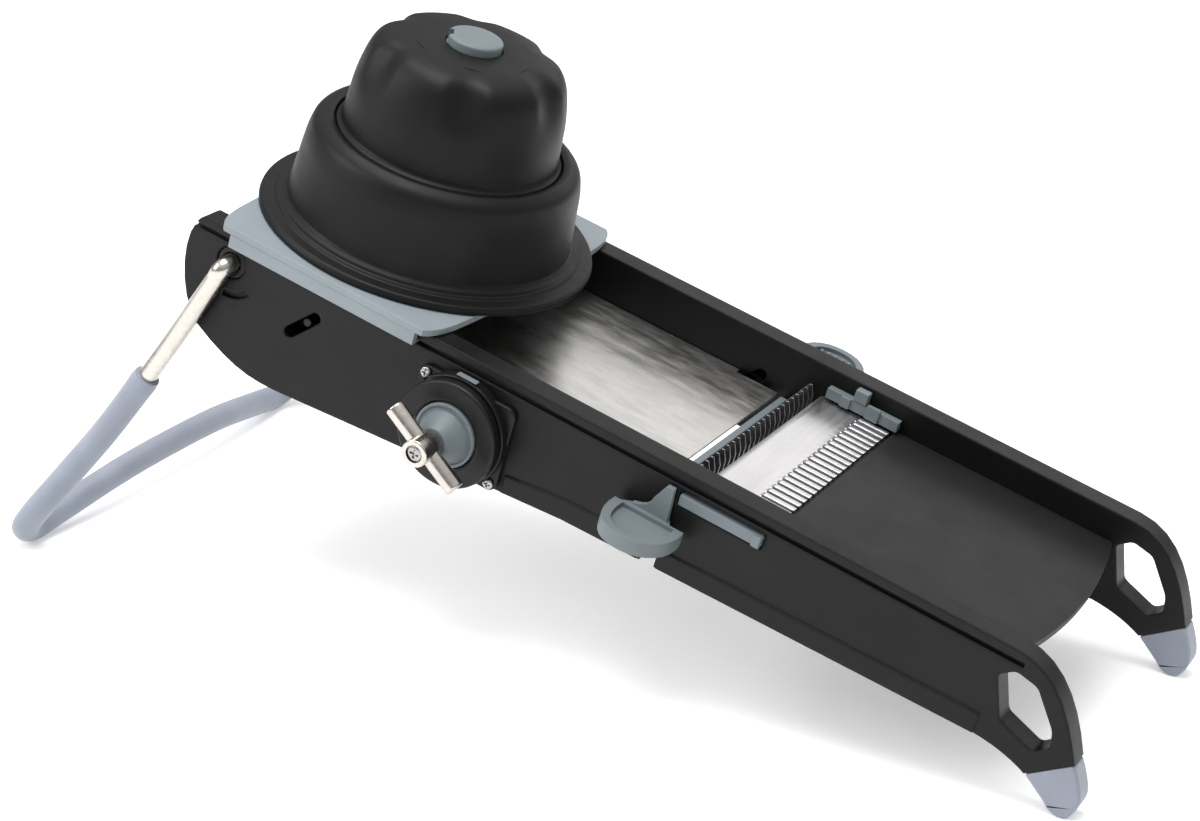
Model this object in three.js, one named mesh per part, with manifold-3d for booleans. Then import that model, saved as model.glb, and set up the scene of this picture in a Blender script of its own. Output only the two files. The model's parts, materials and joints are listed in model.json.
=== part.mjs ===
// Mandoline slicer: two side rails with hand loops, a height-adjustable ramp, a cross blade,
// a julienne comb, a folding wire leg, and a sliding carriage that holds the food pusher.
//
// Everything is drawn in the deck's own frame, in millimetres:
//   x runs along the deck from its raised rear end to its feet,
//   y runs across the deck, negative on the side of the dial,
//   z is the deck's normal, and z = 0 is the top of the side rails.
// The deck group is then tilted so that the leg and both feet stand on one level plane.

import * as THREE from 'three';
import { mergeVertices } from 'three/addons/utils/BufferGeometryUtils.js';
import Module from 'manifold-3d';

const wasm = await Module();
wasm.setup();

// ---------------------------------------------------------------- driving dimensions

const GAP = 0.3; // clearance between pieces that rest on each other
const RAIL_OUT = 67; // outer face of a side rail, from the middle of the deck
const RAIL_IN = 57.4; // inner face of a side rail
const RAIL_END = 360; // where the rail's top turns down into the foot
const GROOVE_TOP = -3.7;
const GROOVE_BOTTOM = -5.7;
const GROOVE_DEPTH = 2.0;
const GROOVE_END = 365;

const LEG_PIVOT = { x: 21.9, z: -13.1 };
const LEG_LEAN = THREE.MathUtils.degToRad(20); // behind the deck's normal
const LEG_LENGTH = 156; // pivot to the outermost bend
const LEG_BOW = 12; // rise of the cross bar's middle
const ROD_RADIUS = 3.85;
const SLEEVE_RADIUS = 5.5;
const ARM_Y = 71.6; // bare part of each arm
const SLEEVE_START = 63; // from the pivot, along the arm
const SLEEVED_ARM_Y = 73.2; // clears the rail when the leg is folded
const ARM_SPLAY_Y = 95; // half width at the bottom bends
const ARM_STRAIGHT = 98;
const LEG_STEPS = 60;

const FOOT_HEEL = { x: 395.2, z: -53.2 }; // rear edge of the foot's flat
const FOOT_FLAT = 3.6;
const FOOT_TOE = { x: 401.0, z: -42.9 };

const RAMP_TOP = -19.4;
const RAMP_END = 210;
const RAMP_SHEET = 1.0;
const RAMP_HALF = 56.9;
const LIFT_ANGLE = THREE.MathUtils.degToRad(48); // the ramp's guide slots, above the deck
const LIFT_DOWN = 4.0; // travel along the slots from the modelled setting
const LIFT_UP = 8.0;
const PIN_RADIUS = 2.1;
const REAR_PIN = { x: 58, z: -23.6 };
const FAR_PIN = { x: 194, z: -23.4 }; // front pin on the latch side, in a blind notch
const FAR_NOTCH_DEPTH = 5.2;

const DIAL = { x: 134.2, z: -28.9 };
const FOLLOWER_RADIUS = 8.2; // follower pin from the dial's axis
const SPIRAL_RATIO = 520; // radians of the dial for each metre of pin travel
const SPIRAL_RISE = 1000 / SPIRAL_RATIO; // mm of pin travel for each radian of the dial
const FLANGE_RADIUS = 20.4;
const ESCUTCHEON_SCREWS = [{ x: 116.2, z: -13.2 }, { x: 153.2, z: -43.6 }];
const DRUM_RADIUS = 21.6;
const BAR_AXIS_Y = -91.3;
const BOSS_FRONT_Y = -98.8;
const BOSS_BACK_Y = -86.6;

const COMB_FRONT = 225.2;
const COMB_REAR = 211.8;
const COMB_BASE = -21.5;
const TEETH = 25;
const TOOTH_PITCH = 4.35;

const SHELF_TOP = -20.6; // top of the thumb shelf beside the dial
const FAR_SHELF_RISE = 12.4;
const SHELF_RIBS = [211.4, 214.6, 217.8, 221, 224.2];
const BLADE_EDGE = 226.8;
const BLADE_BACK = 259.6;
const BLADE_TOP = -12.0;
const BLADE_SHEET = 0.8;
const RIDGES = 24;
const RIDGE_PITCH = 4.5;

const BED_START = 260.6;
const BED_TOP = -12.0;
const BED_SHEET = 3.0;
const BED_HALF = 57.1;

const DOME_X = 66;
const PLATE_BOTTOM = 0.4;
const PLATE_TOP = 3.2;
const HOLE_RADIUS = 55;
const LEDGE = 41.2; // the pusher's flange rests here inside the sleeve's mouth
const BUTTON_RADIUS = 10.9;
const DOME_TOP = 84.4;
const TURNED_SIDES = 36;

const OUTLINE_STEPS = 7;

// ---------------------------------------------------------------- materials

function finish(color, roughness, metalness = 0) {
  return new THREE.MeshStandardMaterial({ color, roughness, metalness });
}

const BLACK = finish(0x222326, 0.5);
const CHARCOAL = finish(0x2b2c2f, 0.55);
const GREY_BLUE = finish(0x8c949e, 0.45);
const GREY = finish(0x808a8e, 0.45);
const SILICONE = finish(0x9196a0, 0.7);
const STEEL = finish(0xc9c8c4, 0.2, 1);
const DARK_STEEL = finish(0x7d7d7d, 0.35, 1);

// ---------------------------------------------------------------- solids and booleans

function solid(geometry) {
  const bare = geometry.clone();
  bare.deleteAttribute('normal');
  bare.deleteAttribute('uv');
  const merged = mergeVertices(bare, 1e-4);
  const vertProperties = new Float32Array(merged.attributes.position.array);
  const triVerts = new Uint32Array(merged.index.array);
  return new wasm.Manifold(new wasm.Mesh({ numProp: 3, vertProperties, triVerts }));
}

function geometryOf(body) {
  const mesh = body.getMesh();
  const geometry = new THREE.BufferGeometry();
  geometry.setAttribute('position', new THREE.BufferAttribute(mesh.vertProperties, 3));
  geometry.setIndex(new THREE.BufferAttribute(mesh.triVerts, 1));
  geometry.computeVertexNormals();
  return geometry;
}

function join(first, ...others) {
  return others.reduce((sum, other) => sum.add(other), first);
}

function cut(first, ...others) {
  return others.reduce((rest, other) => rest.subtract(other), first);
}

function mesh(name, body, material) {
  const item = new THREE.Mesh(geometryOf(body), material);
  item.name = name;
  return item;
}

function box(x0, x1, y0, y1, z0, z1) {
  const geometry = new THREE.BoxGeometry(x1 - x0, y1 - y0, z1 - z0);
  geometry.translate((x0 + x1) / 2, (y0 + y1) / 2, (z0 + z1) / 2);
  return solid(geometry);
}

// A cylinder across the deck, from y0 to y1, or a cone that ends at y0 in another radius.
function crossCylinder(x, z, radius, y0, y1, sides = 20, endRadius = radius) {
  const geometry = new THREE.CylinderGeometry(radius, endRadius, y1 - y0, sides);
  geometry.translate(x, (y0 + y1) / 2, z);
  return solid(geometry);
}

// A cylinder along the deck's normal, from z0 to z1.
function uprightCylinder(x, y, radius, z0, z1, sides = 20, topRadius = radius) {
  const geometry = new THREE.CylinderGeometry(topRadius, radius, z1 - z0, sides);
  geometry.rotateX(Math.PI / 2);
  geometry.translate(x, y, (z0 + z1) / 2);
  return solid(geometry);
}

// A side outline (x, z) made thick across the deck, from y0 to y1.
function sidePlate(shape, y0, y1, steps = OUTLINE_STEPS) {
  const options = { depth: y1 - y0, bevelEnabled: false, curveSegments: steps };
  const geometry = new THREE.ExtrudeGeometry(shape, options);
  geometry.rotateX(Math.PI / 2);
  geometry.translate(0, y1, 0);
  return solid(geometry);
}

// A plan outline (x, y) made thick along the deck's normal, from z0 to z1.
function flatPlate(shape, z0, z1, steps = OUTLINE_STEPS) {
  const options = { depth: z1 - z0, bevelEnabled: false, curveSegments: steps };
  const geometry = new THREE.ExtrudeGeometry(shape, options);
  geometry.translate(0, 0, z0);
  return solid(geometry);
}

// A closed profile of [radius, height] turned about an upright axis at (x, 0).
function turned(profile, x, sides) {
  const points = profile.map(([radius, height]) => new THREE.Vector2(radius, height));
  const geometry = new THREE.LatheGeometry(points, sides);
  geometry.rotateX(Math.PI / 2);
  geometry.translate(x, 0, 0);
  return solid(geometry);
}

function polygon(points) {
  return new THREE.Shape(points.map(([x, y]) => new THREE.Vector2(x, y)));
}

// A polygon whose corners are rounded, starting a given length before each corner.
function roundedPolygon(points, length) {
  const corners = points.map(([x, y]) => new THREE.Vector2(x, y));
  const shape = new THREE.Shape();
  corners.forEach((corner, i) => {
    const before = corners[(i + corners.length - 1) % corners.length];
    const after = corners[(i + 1) % corners.length];
    const start = corner.clone().add(before.clone().sub(corner).setLength(length));
    const end = corner.clone().add(after.clone().sub(corner).setLength(length));
    if (i === 0) {
      shape.moveTo(start.x, start.y);
    } else {
      shape.lineTo(start.x, start.y);
    }
    shape.quadraticCurveTo(corner.x, corner.y, end.x, end.y);
  });
  return shape;
}

function roundedRectangle(x0, x1, y0, y1, radius) {
  const shape = new THREE.Shape();
  shape.moveTo(x0 + radius, y0);
  shape.lineTo(x1 - radius, y0);
  shape.absarc(x1 - radius, y0 + radius, radius, -Math.PI / 2, 0);
  shape.lineTo(x1, y1 - radius);
  shape.absarc(x1 - radius, y1 - radius, radius, 0, Math.PI / 2);
  shape.lineTo(x0 + radius, y1);
  shape.absarc(x0 + radius, y1 - radius, radius, Math.PI / 2, Math.PI);
  shape.lineTo(x0, y0 + radius);
  shape.absarc(x0 + radius, y0 + radius, radius, Math.PI, 1.5 * Math.PI);
  return shape;
}

// A slot outline with round ends between two points.
function slotOutline(x0, z0, x1, z1, radius) {
  const heading = Math.atan2(z1 - z0, x1 - x0);
  const shape = new THREE.Shape();
  shape.absarc(x1, z1, radius, heading - Math.PI / 2, heading + Math.PI / 2);
  shape.absarc(x0, z0, radius, heading + Math.PI / 2, heading + 1.5 * Math.PI);
  return shape;
}

// The point that lies a distance up the guide slots' slope from a start.
function upSlope(start, distance) {
  return {
    x: start.x + distance * Math.cos(LIFT_ANGLE),
    z: start.z + distance * Math.sin(LIFT_ANGLE),
  };
}

// ---------------------------------------------------------------- the deck's tilt

const legEnd = {
  x: LEG_PIVOT.x - LEG_LENGTH * Math.sin(LEG_LEAN),
  z: LEG_PIVOT.z - LEG_LENGTH * Math.cos(LEG_LEAN),
};
const footRun = FOOT_HEEL.x - legEnd.x;
const footDrop = FOOT_HEEL.z - legEnd.z;
const TILT = Math.atan2(footDrop, footRun) + Math.asin(SLEEVE_RADIUS / Math.hypot(footRun, footDrop));

// The front edge of the foot's flat, which lies level once the deck is tilted.
const footFlatFront = {
  x: FOOT_HEEL.x + FOOT_FLAT * Math.cos(TILT),
  z: FOOT_HEEL.z + FOOT_FLAT * Math.sin(TILT),
};

const followerPin = upSlope(DIAL, FOLLOWER_RADIUS);

// ---------------------------------------------------------------- side rails

const FOOT_CUT = [{ x: 379.3, z: -43.5 }, { x: 394.2, z: -30.6 }];

function railOutline() {
  const shape = new THREE.Shape();
  shape.moveTo(6.4, 0);
  shape.lineTo(RAIL_END, 0);
  shape.bezierCurveTo(376, 0, 386, -13.5, FOOT_CUT[1].x, FOOT_CUT[1].z);
  shape.lineTo(FOOT_CUT[0].x, FOOT_CUT[0].z);
  shape.quadraticCurveTo(370, -39.2, 358, -38.7);
  shape.lineTo(185, -43.4);
  shape.lineTo(60, -54.6);
  shape.bezierCurveTo(42, -56.8, 32, -55.5, 13, -45.4);
  shape.bezierCurveTo(2, -38, -2.5, -14, 2.8, -4.4);
  shape.quadraticCurveTo(4.2, -1, 6.4, 0);
  return shape;
}

function loopOutline() {
  return roundedPolygon([[357.6, -12.6], [363.2, -8], [372.2, -9.8], [382.6, -22.6], [384.2, -29.2],
    [379.2, -34], [364.2, -28.8]], 1.8);
}

// Detent track of the leg: a shallow arc about the leg's pivot, with a hook at its end.
function detentOutline() {
  const radius = 13.3;
  const halfWidth = 1.3;
  const start = -1.65;
  const end = -0.72;
  const shape = new THREE.Shape();
  shape.absarc(LEG_PIVOT.x, LEG_PIVOT.z, radius + halfWidth, start, end, false);
  shape.absarc(LEG_PIVOT.x, LEG_PIVOT.z, radius - halfWidth, end, start, true);
  return shape;
}

// Pockets open downwards between the rail's inner and outer walls, with ribs left between.
function railPockets(side) {
  const spans = [[170, 212], [234, 262], [268, 296], [302, 328], [334, 352]];
  return spans.map(([x0, x1]) => {
    const walls = [side * (RAIL_IN + 2.8), side * (RAIL_OUT - 3.0)].sort((a, b) => a - b);
    return box(x0, x1, walls[0], walls[1], -70, -22);
  });
}

function railBlank(side) {
  const faces = [side * RAIL_IN, side * RAIL_OUT].sort((a, b) => a - b);
  const outer = side * (RAIL_OUT - GROOVE_DEPTH);
  const grooveFaces = [outer, side * (RAIL_OUT + 5)].sort((a, b) => a - b);
  const through = [side * (RAIL_IN - 8), side * (RAIL_OUT + 8)].sort((a, b) => a - b);
  const shallow = [side * (RAIL_OUT - 1.4), side * (RAIL_OUT + 5)].sort((a, b) => a - b);
  const slotLow = upSlope(REAR_PIN, -LIFT_DOWN - 2.2);
  const slotHigh = upSlope(REAR_PIN, LIFT_UP + 0.5);
  const frontPin = side < 0 ? followerPin : FAR_PIN;
  const frontLow = upSlope(frontPin, -LIFT_DOWN - 0.4);
  const frontHigh = upSlope(frontPin, LIFT_UP + 0.4);
  const frontCut = side < 0 ? through : [RAIL_IN - 8, RAIL_IN + FAR_NOTCH_DEPTH];
  const pinSlot = PIN_RADIUS + 0.35;
  return cut(
    sidePlate(railOutline(), faces[0], faces[1]),
    sidePlate(loopOutline(), through[0], through[1], 4),
    box(-5, GROOVE_END, grooveFaces[0], grooveFaces[1], GROOVE_BOTTOM, GROOVE_TOP),
    sidePlate(detentOutline(), shallow[0], shallow[1], 8),
    sidePlate(slotOutline(slotLow.x, slotLow.z, slotHigh.x, slotHigh.z, pinSlot), ...through, 6),
    sidePlate(slotOutline(frontLow.x, frontLow.z, frontHigh.x, frontHigh.z, pinSlot), ...frontCut, 6),
    crossCylinder(LEG_PIVOT.x, LEG_PIVOT.z, 6.7, through[0], through[1], 24),
    box(218.9, 225.1, through[0], through[1], -80, COMB_BASE + GAP),
    ...railPockets(side),
    ...memberScrews(side, 0.3, 0),
  );
}

// Ledge on a rail's inner face that carries the blade's end.
function bladeLedge(side) {
  const faces = [side * (RAIL_IN + 0.5), side * (RAIL_IN - 3)].sort((a, b) => a - b);
  const top = BLADE_TOP - BLADE_SHEET - GAP;
  return box(BLADE_EDGE + 0.6, BLADE_BACK - 0.4, faces[0], faces[1], top - 3, top);
}

// A lower flange that stands proud along the bottom of the rail's outer face.
function bottomFlange(side) {
  const faces = [side * (RAIL_OUT - 0.5), side * (RAIL_OUT + 0.7)].sort((a, b) => a - b);
  const shape = polygon([[158, -38.2], [158, -45.6], [185, -43.2], [218, -42.3], [218, -34.4],
    [185, -35]]);
  const front = polygon([[226, -42.1], [357, -38.5], [357, -30.5], [226, -34.2]]);
  return sidePlate(shape, faces[0], faces[1]).add(sidePlate(front, faces[0], faces[1]));
}

function dialSideRail() {
  const cassetteSlot = box(226.1, 262, -RAIL_OUT - 5, -RAIL_IN + 5, -13.7, -7);
  const screwBores = ESCUTCHEON_SCREWS.map(({ x, z }) =>
    crossCylinder(x, z, 1.5, -RAIL_OUT - 5, -RAIL_OUT + 6.6, 10));
  return cut(
    railBlank(-1).add(bladeLedge(-1)).add(bottomFlange(-1)),
    cassetteSlot,
    box(110, 157, -RAIL_OUT - 5, -RAIL_OUT, -60, -5),
    ...screwBores,
  );
}

function latchSideRail() {
  return railBlank(1).add(bladeLedge(1)).add(bottomFlange(1));
}

function footTip(side) {
  const faces = [side * RAIL_IN, side * RAIL_OUT].sort((a, b) => a - b);
  const drop = 0.35;
  const shape = new THREE.Shape();
  shape.moveTo(FOOT_CUT[1].x + drop / 2, FOOT_CUT[1].z - drop);
  shape.quadraticCurveTo(FOOT_TOE.x - 1.4, FOOT_TOE.z + 5, FOOT_TOE.x, FOOT_TOE.z);
  shape.quadraticCurveTo(FOOT_TOE.x + 0.6, FOOT_TOE.z - 5, footFlatFront.x, footFlatFront.z);
  shape.lineTo(FOOT_HEEL.x, FOOT_HEEL.z);
  shape.quadraticCurveTo(FOOT_HEEL.x - 3.4, FOOT_HEEL.z + 0.2, FOOT_HEEL.x - 6, FOOT_HEEL.z + 3);
  shape.lineTo(FOOT_CUT[0].x + drop / 2, FOOT_CUT[0].z - drop);
  return sidePlate(shape, faces[0], faces[1], 4);
}

// ---------------------------------------------------------------- cross member and bed

const MEMBER = { x0: 12, x1: 30, z0: -44, z1: -33 };
const MEMBER_LUGS = [[17.8, -40.5], [24.2, -40.5]];

function memberScrews(side, slack, headRadius) {
  return MEMBER_LUGS.map(([x, z]) => {
    const ends = [side * 53.6, side * (64 + slack)].sort((a, b) => a - b);
    const shank = crossCylinder(x, z, 1.4 + slack, ends[0], ends[1], 10);
    if (headRadius === 0) {
      return shank;
    }
    const head = [side * 51.6, side * 53.8].sort((a, b) => a - b);
    return shank.add(crossCylinder(x, z, headRadius, head[0], head[1], 12));
  });
}

// A channel between the rails at the deck's rear, under the ramp.
function rearCrossMember() {
  const { x0, x1, z0, z1 } = MEMBER;
  const half = BED_HALF;
  const hollow = box(x0 + 2.5, x1 - 2.5, -half + 3, half - 3, z0 - 1, z1 - 2.5);
  return cut(
    box(x0, x1, -half, half, z0, z1),
    hollow,
    ...memberScrews(-1, 0.3, 0),
    ...memberScrews(1, 0.3, 0),
  );
}

// The bed carries the cut slices away from the blade, and its front edge is a wide arc.
function runoutBed() {
  const sideEnd = 356;
  const nose = 363.4;
  const sagitta = nose - sideEnd;
  const radius = (BED_HALF ** 2 + sagitta ** 2) / (2 * sagitta);
  const half = Math.asin(BED_HALF / radius);
  const shape = new THREE.Shape();
  shape.moveTo(BED_START, -BED_HALF);
  shape.lineTo(sideEnd, -BED_HALF);
  shape.absarc(nose - radius, 0, radius, -half, half);
  shape.lineTo(BED_START, BED_HALF);
  const under = BED_TOP - BED_SHEET;
  const ribs = [-1, 1].map((side) => {
    const faces = [side * BED_HALF, side * (BED_HALF - 2.6)].sort((a, b) => a - b);
    return box(BED_START, sideEnd - 2, faces[0], faces[1], under - 8, under + 0.5);
  });
  const crossRibs = [BED_START + 6, 308, 350].map((x) =>
    box(x, x + 2.4, -BED_HALF, BED_HALF, under - 8, under + 0.5));
  return join(flatPlate(shape, under, BED_TOP, 12), ...ribs, ...crossRibs);
}

// ---------------------------------------------------------------- leg

function legPoint(distance, y) {
  return new THREE.Vector3(
    LEG_PIVOT.x - distance * Math.sin(LEG_LEAN),
    y,
    LEG_PIVOT.z - distance * Math.cos(LEG_LEAN),
  );
}

// Centre line from the rail on the dial side, down, across and up to the other rail.
function legPath() {
  const arm = (side) => [
    legPoint(0, side * 58),
    legPoint(0, side * (ARM_Y - 5)),
    legPoint(1.5, side * ARM_Y),
    legPoint(7, side * ARM_Y),
    legPoint(38, side * (ARM_Y + 0.2)),
    legPoint(SLEEVE_START - 4, side * SLEEVED_ARM_Y),
    legPoint(ARM_STRAIGHT, side * (SLEEVED_ARM_Y + 1)),
    legPoint(124, side * (ARM_Y + 13)),
    legPoint(144, side * (ARM_SPLAY_Y - 0.8)),
    legPoint(LEG_LENGTH - 4.3, side * (ARM_SPLAY_Y - 1.2)),
    legPoint(LEG_LENGTH, side * (ARM_SPLAY_Y - 9)),
    legPoint(LEG_LENGTH - 2.4, side * (ARM_SPLAY_Y - 22)),
  ];
  const near = arm(-1);
  const far = arm(1).reverse();
  const middle = [
    legPoint(LEG_LENGTH - LEG_BOW + 1.7, -34),
    legPoint(LEG_LENGTH - LEG_BOW, 0),
    legPoint(LEG_LENGTH - LEG_BOW + 1.7, 34),
  ];
  return new THREE.CatmullRomCurve3([...near, ...middle, ...far], false, 'centripetal');
}

function tube(path, radius, sides, steps) {
  const circle = new THREE.Shape();
  circle.absarc(0, 0, radius, 0, 2 * Math.PI);
  const points = circle.getSpacedPoints(sides).slice(0, sides);
  const options = { steps, extrudePath: path, bevelEnabled: false };
  return solid(new THREE.ExtrudeGeometry(new THREE.Shape(points), options));
}

function legRod() {
  return tube(legPath(), ROD_RADIUS, 8, LEG_STEPS);
}

function legSleeve() {
  const bore = tube(legPath(), ROD_RADIUS + GAP, 8, LEG_STEPS);
  const cover = tube(legPath(), SLEEVE_RADIUS, 8, LEG_STEPS);
  const sleeveStart = legPoint(SLEEVE_START, 0);
  const normal = new THREE.Vector3(-Math.sin(LEG_LEAN), 0, -Math.cos(LEG_LEAN));
  const reach = 110;
  const keep = new THREE.BoxGeometry(220, 220, reach);
  keep.translate(0, 0, reach / 2);
  keep.applyQuaternion(new THREE.Quaternion().setFromUnitVectors(new THREE.Vector3(0, 0, 1), normal));
  keep.translate(sleeveStart.x, 0, sleeveStart.z);
  return cover.intersect(solid(keep)).subtract(bore);
}

function legBush(side) {
  const faces = [side * (RAIL_IN + 0.4), side * (RAIL_OUT - 0.3)].sort((a, b) => a - b);
  const bore = [side * (RAIL_IN - 3), side * (RAIL_OUT + 3)].sort((a, b) => a - b);
  return cut(
    crossCylinder(LEG_PIVOT.x, LEG_PIVOT.z, 6.4, faces[0], faces[1], 24),
    crossCylinder(LEG_PIVOT.x, LEG_PIVOT.z, ROD_RADIUS + 0.35, bore[0], bore[1], 20),
  );
}

// ---------------------------------------------------------------- ramp

function rampPlate() {
  const step = 190.4;
  const shape = polygon([
    [12, -RAMP_HALF], [step, -RAMP_HALF], [step, -RAMP_HALF + 2.8], [RAMP_END, -RAMP_HALF + 2.8],
    [RAMP_END, RAMP_HALF - 2.8], [step, RAMP_HALF - 2.8], [step, RAMP_HALF], [12, RAMP_HALF],
  ]);
  return flatPlate(shape, RAMP_TOP - RAMP_SHEET, RAMP_TOP);
}

// Frame under the ramp sheet: two side beams and three cross beams.
function rampCarrier() {
  const top = RAMP_TOP - RAMP_SHEET - GAP;
  const bottom = top - 5.6;
  const beams = [-1, 1].map((side) => {
    const faces = [side * 49, side * 56.4].sort((a, b) => a - b);
    return box(14, 205.5, faces[0], faces[1], bottom, top);
  });
  const crossBeams = [[15, 21], [96, 104], [199, 205]].map(([x0, x1]) =>
    box(x0, x1, -50, 50, bottom + 1.5, top));
  const bore = PIN_RADIUS + 0.15;
  return cut(
    join(...beams, ...crossBeams),
    crossCylinder(REAR_PIN.x, REAR_PIN.z, bore, -60, 60, 16),
    crossCylinder(followerPin.x, followerPin.z, bore, -60, -40, 16),
    crossCylinder(FAR_PIN.x, FAR_PIN.z, bore, 40, 60, 16),
  );
}

function guidePin(at, side, reach) {
  const ends = [side * 50, side * reach].sort((a, b) => a - b);
  return crossCylinder(at.x, at.z, PIN_RADIUS, ends[0], ends[1], 14);
}

// ---------------------------------------------------------------- dial

const FLANGE_FACE = -RAIL_OUT - 0.4;
const FLANGE_BACK = FLANGE_FACE - 3.2;
const RING_FACE = -72.4;

function escutcheon() {
  const plate = roundedRectangle(113, 156.4, -46.8, -10.4, 4);
  const screws = ESCUTCHEON_SCREWS.map(({ x, z }) => join(
    crossCylinder(x, z, 1.5, -75, -66, 10),
    crossCylinder(x, z, 2.5, -80, -69.2, 12),
  ));
  return cut(
    join(
      sidePlate(plate, -69.2, -RAIL_OUT - 0.3, 4),
      crossCylinder(DIAL.x, DIAL.z, 22.2, RING_FACE, -RAIL_OUT - 0.3, 36),
    ),
    crossCylinder(DIAL.x, DIAL.z, FLANGE_RADIUS + 0.3, FLANGE_BACK - 0.3, -60, 36),
    crossCylinder(DIAL.x, DIAL.z, 18.9, -80, -60, 36),
    ...screws,
  );
}

function escutcheonScrew({ x, z }) {
  return join(
    crossCylinder(x, z, 1.2, -69.6, -61.2, 10),
    crossCylinder(x, z, 2.2, -70.4, -69.5, 12),
  );
}

// Pale index mark on top of the escutcheon's ring.
function indexMark() {
  return box(129.8, 138.6, -72.1, -69.6, -6.4, -5.8);
}

// Spiral cam groove: its radius grows evenly as the dial turns.
function spiralOutline() {
  const halfWidth = PIN_RADIUS + 0.55;
  const first = FOLLOWER_RADIUS - LIFT_DOWN - 1.2;
  const last = FOLLOWER_RADIUS + LIFT_UP + 0.4;
  const steps = 40;
  const inner = [];
  const outer = [];
  for (let i = 0; i <= steps; i += 1) {
    const radius = first + ((last - first) * i) / steps;
    const angle = LIFT_ANGLE - (radius - FOLLOWER_RADIUS) / SPIRAL_RISE;
    const at = (r) => [DIAL.x + r * Math.cos(angle), DIAL.z + r * Math.sin(angle)];
    inner.push(at(radius - halfWidth));
    outer.push(at(radius + halfWidth));
  }
  return polygon([...outer, ...inner.reverse()]);
}

function dialDisc() {
  const groove = sidePlate(spiralOutline(), FLANGE_FACE - 2.4, FLANGE_FACE + 3);
  return cut(
    join(
      crossCylinder(DIAL.x, DIAL.z, FLANGE_RADIUS, FLANGE_BACK, FLANGE_FACE, 36),
      crossCylinder(DIAL.x, DIAL.z, 18.5, -73.1, FLANGE_BACK + 0.5, 36),
    ),
    groove,
  );
}

// Thick front of the dial, a ring round the hub.
function dialDrum() {
  return cut(
    crossCylinder(DIAL.x, DIAL.z, DRUM_RADIUS, -77.6, -73.4, 40),
    crossCylinder(DIAL.x, DIAL.z, 13.2, -80, -70, 32),
  );
}

function dialHub() {
  return cut(
    join(
      crossCylinder(DIAL.x, DIAL.z, 12.9, -78.2, -73.4, 32),
      crossCylinder(DIAL.x, DIAL.z, 10.4, BOSS_BACK_Y + 0.3, -78, 24, 5.8),
    ),
    crossCylinder(DIAL.x, DIAL.z, 1.9, -100, -80, 12),
  );
}

// Tommy bar of the dial with the boss that clamps it to the hub.
function tBar() {
  const half = 19.2;
  const bar = new THREE.CylinderGeometry(3.7, 3.7, 2 * half, 16);
  bar.rotateZ(Math.PI / 2);
  bar.rotateY(THREE.MathUtils.degToRad(30));
  bar.translate(DIAL.x, BAR_AXIS_Y, DIAL.z);
  return cut(
    solid(bar).add(crossCylinder(DIAL.x, DIAL.z, 5.4, BOSS_FRONT_Y, BOSS_BACK_Y, 20)),
    crossCylinder(DIAL.x, DIAL.z, 1.9, -110, -80, 12),
    crossCylinder(DIAL.x, DIAL.z, 3.5, -110, BOSS_FRONT_Y + 2.2, 16),
  );
}

function barScrew() {
  return cut(
    join(
      crossCylinder(DIAL.x, DIAL.z, 1.5, -98, -81, 12),
      crossCylinder(DIAL.x, DIAL.z, 3.1, BOSS_FRONT_Y + 0.2, BOSS_FRONT_Y + 1.9, 16),
    ),
    box(DIAL.x - 2, DIAL.x + 2, -105, BOSS_FRONT_Y + 1.0, DIAL.z - 0.5, DIAL.z + 0.5),
  );
}

// ---------------------------------------------------------------- julienne comb and thumb tabs

function combHolder() {
  const low = COMB_BASE - 4.6;
  return join(
    box(COMB_REAR, COMB_FRONT, -56.8, 56.8, low, COMB_BASE),
    box(COMB_REAR, COMB_REAR + 2.8, -53.8, 53.8, COMB_BASE - 0.5, -19.9),
    box(219.2, 224.8, -67.4, 67.4, low, COMB_BASE),
  );
}

function julienneComb() {
  const base = COMB_BASE + GAP;
  const tooth = polygon([[215.6, base + 0.4], [COMB_FRONT - 0.2, base + 0.4], [225, -12.2],
    [223.2, -7.7], [221.8, -7.9], [216.2, -17.4]]);
  const teeth = [];
  for (let i = 0; i < TEETH; i += 1) {
    const y = (i - (TEETH - 1) / 2) * TOOTH_PITCH;
    teeth.push(sidePlate(tooth, y - 0.35, y + 0.35));
  }
  return join(box(215.2, COMB_FRONT - 0.1, -53.4, 53.4, base, base + 1), ...teeth);
}

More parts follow.
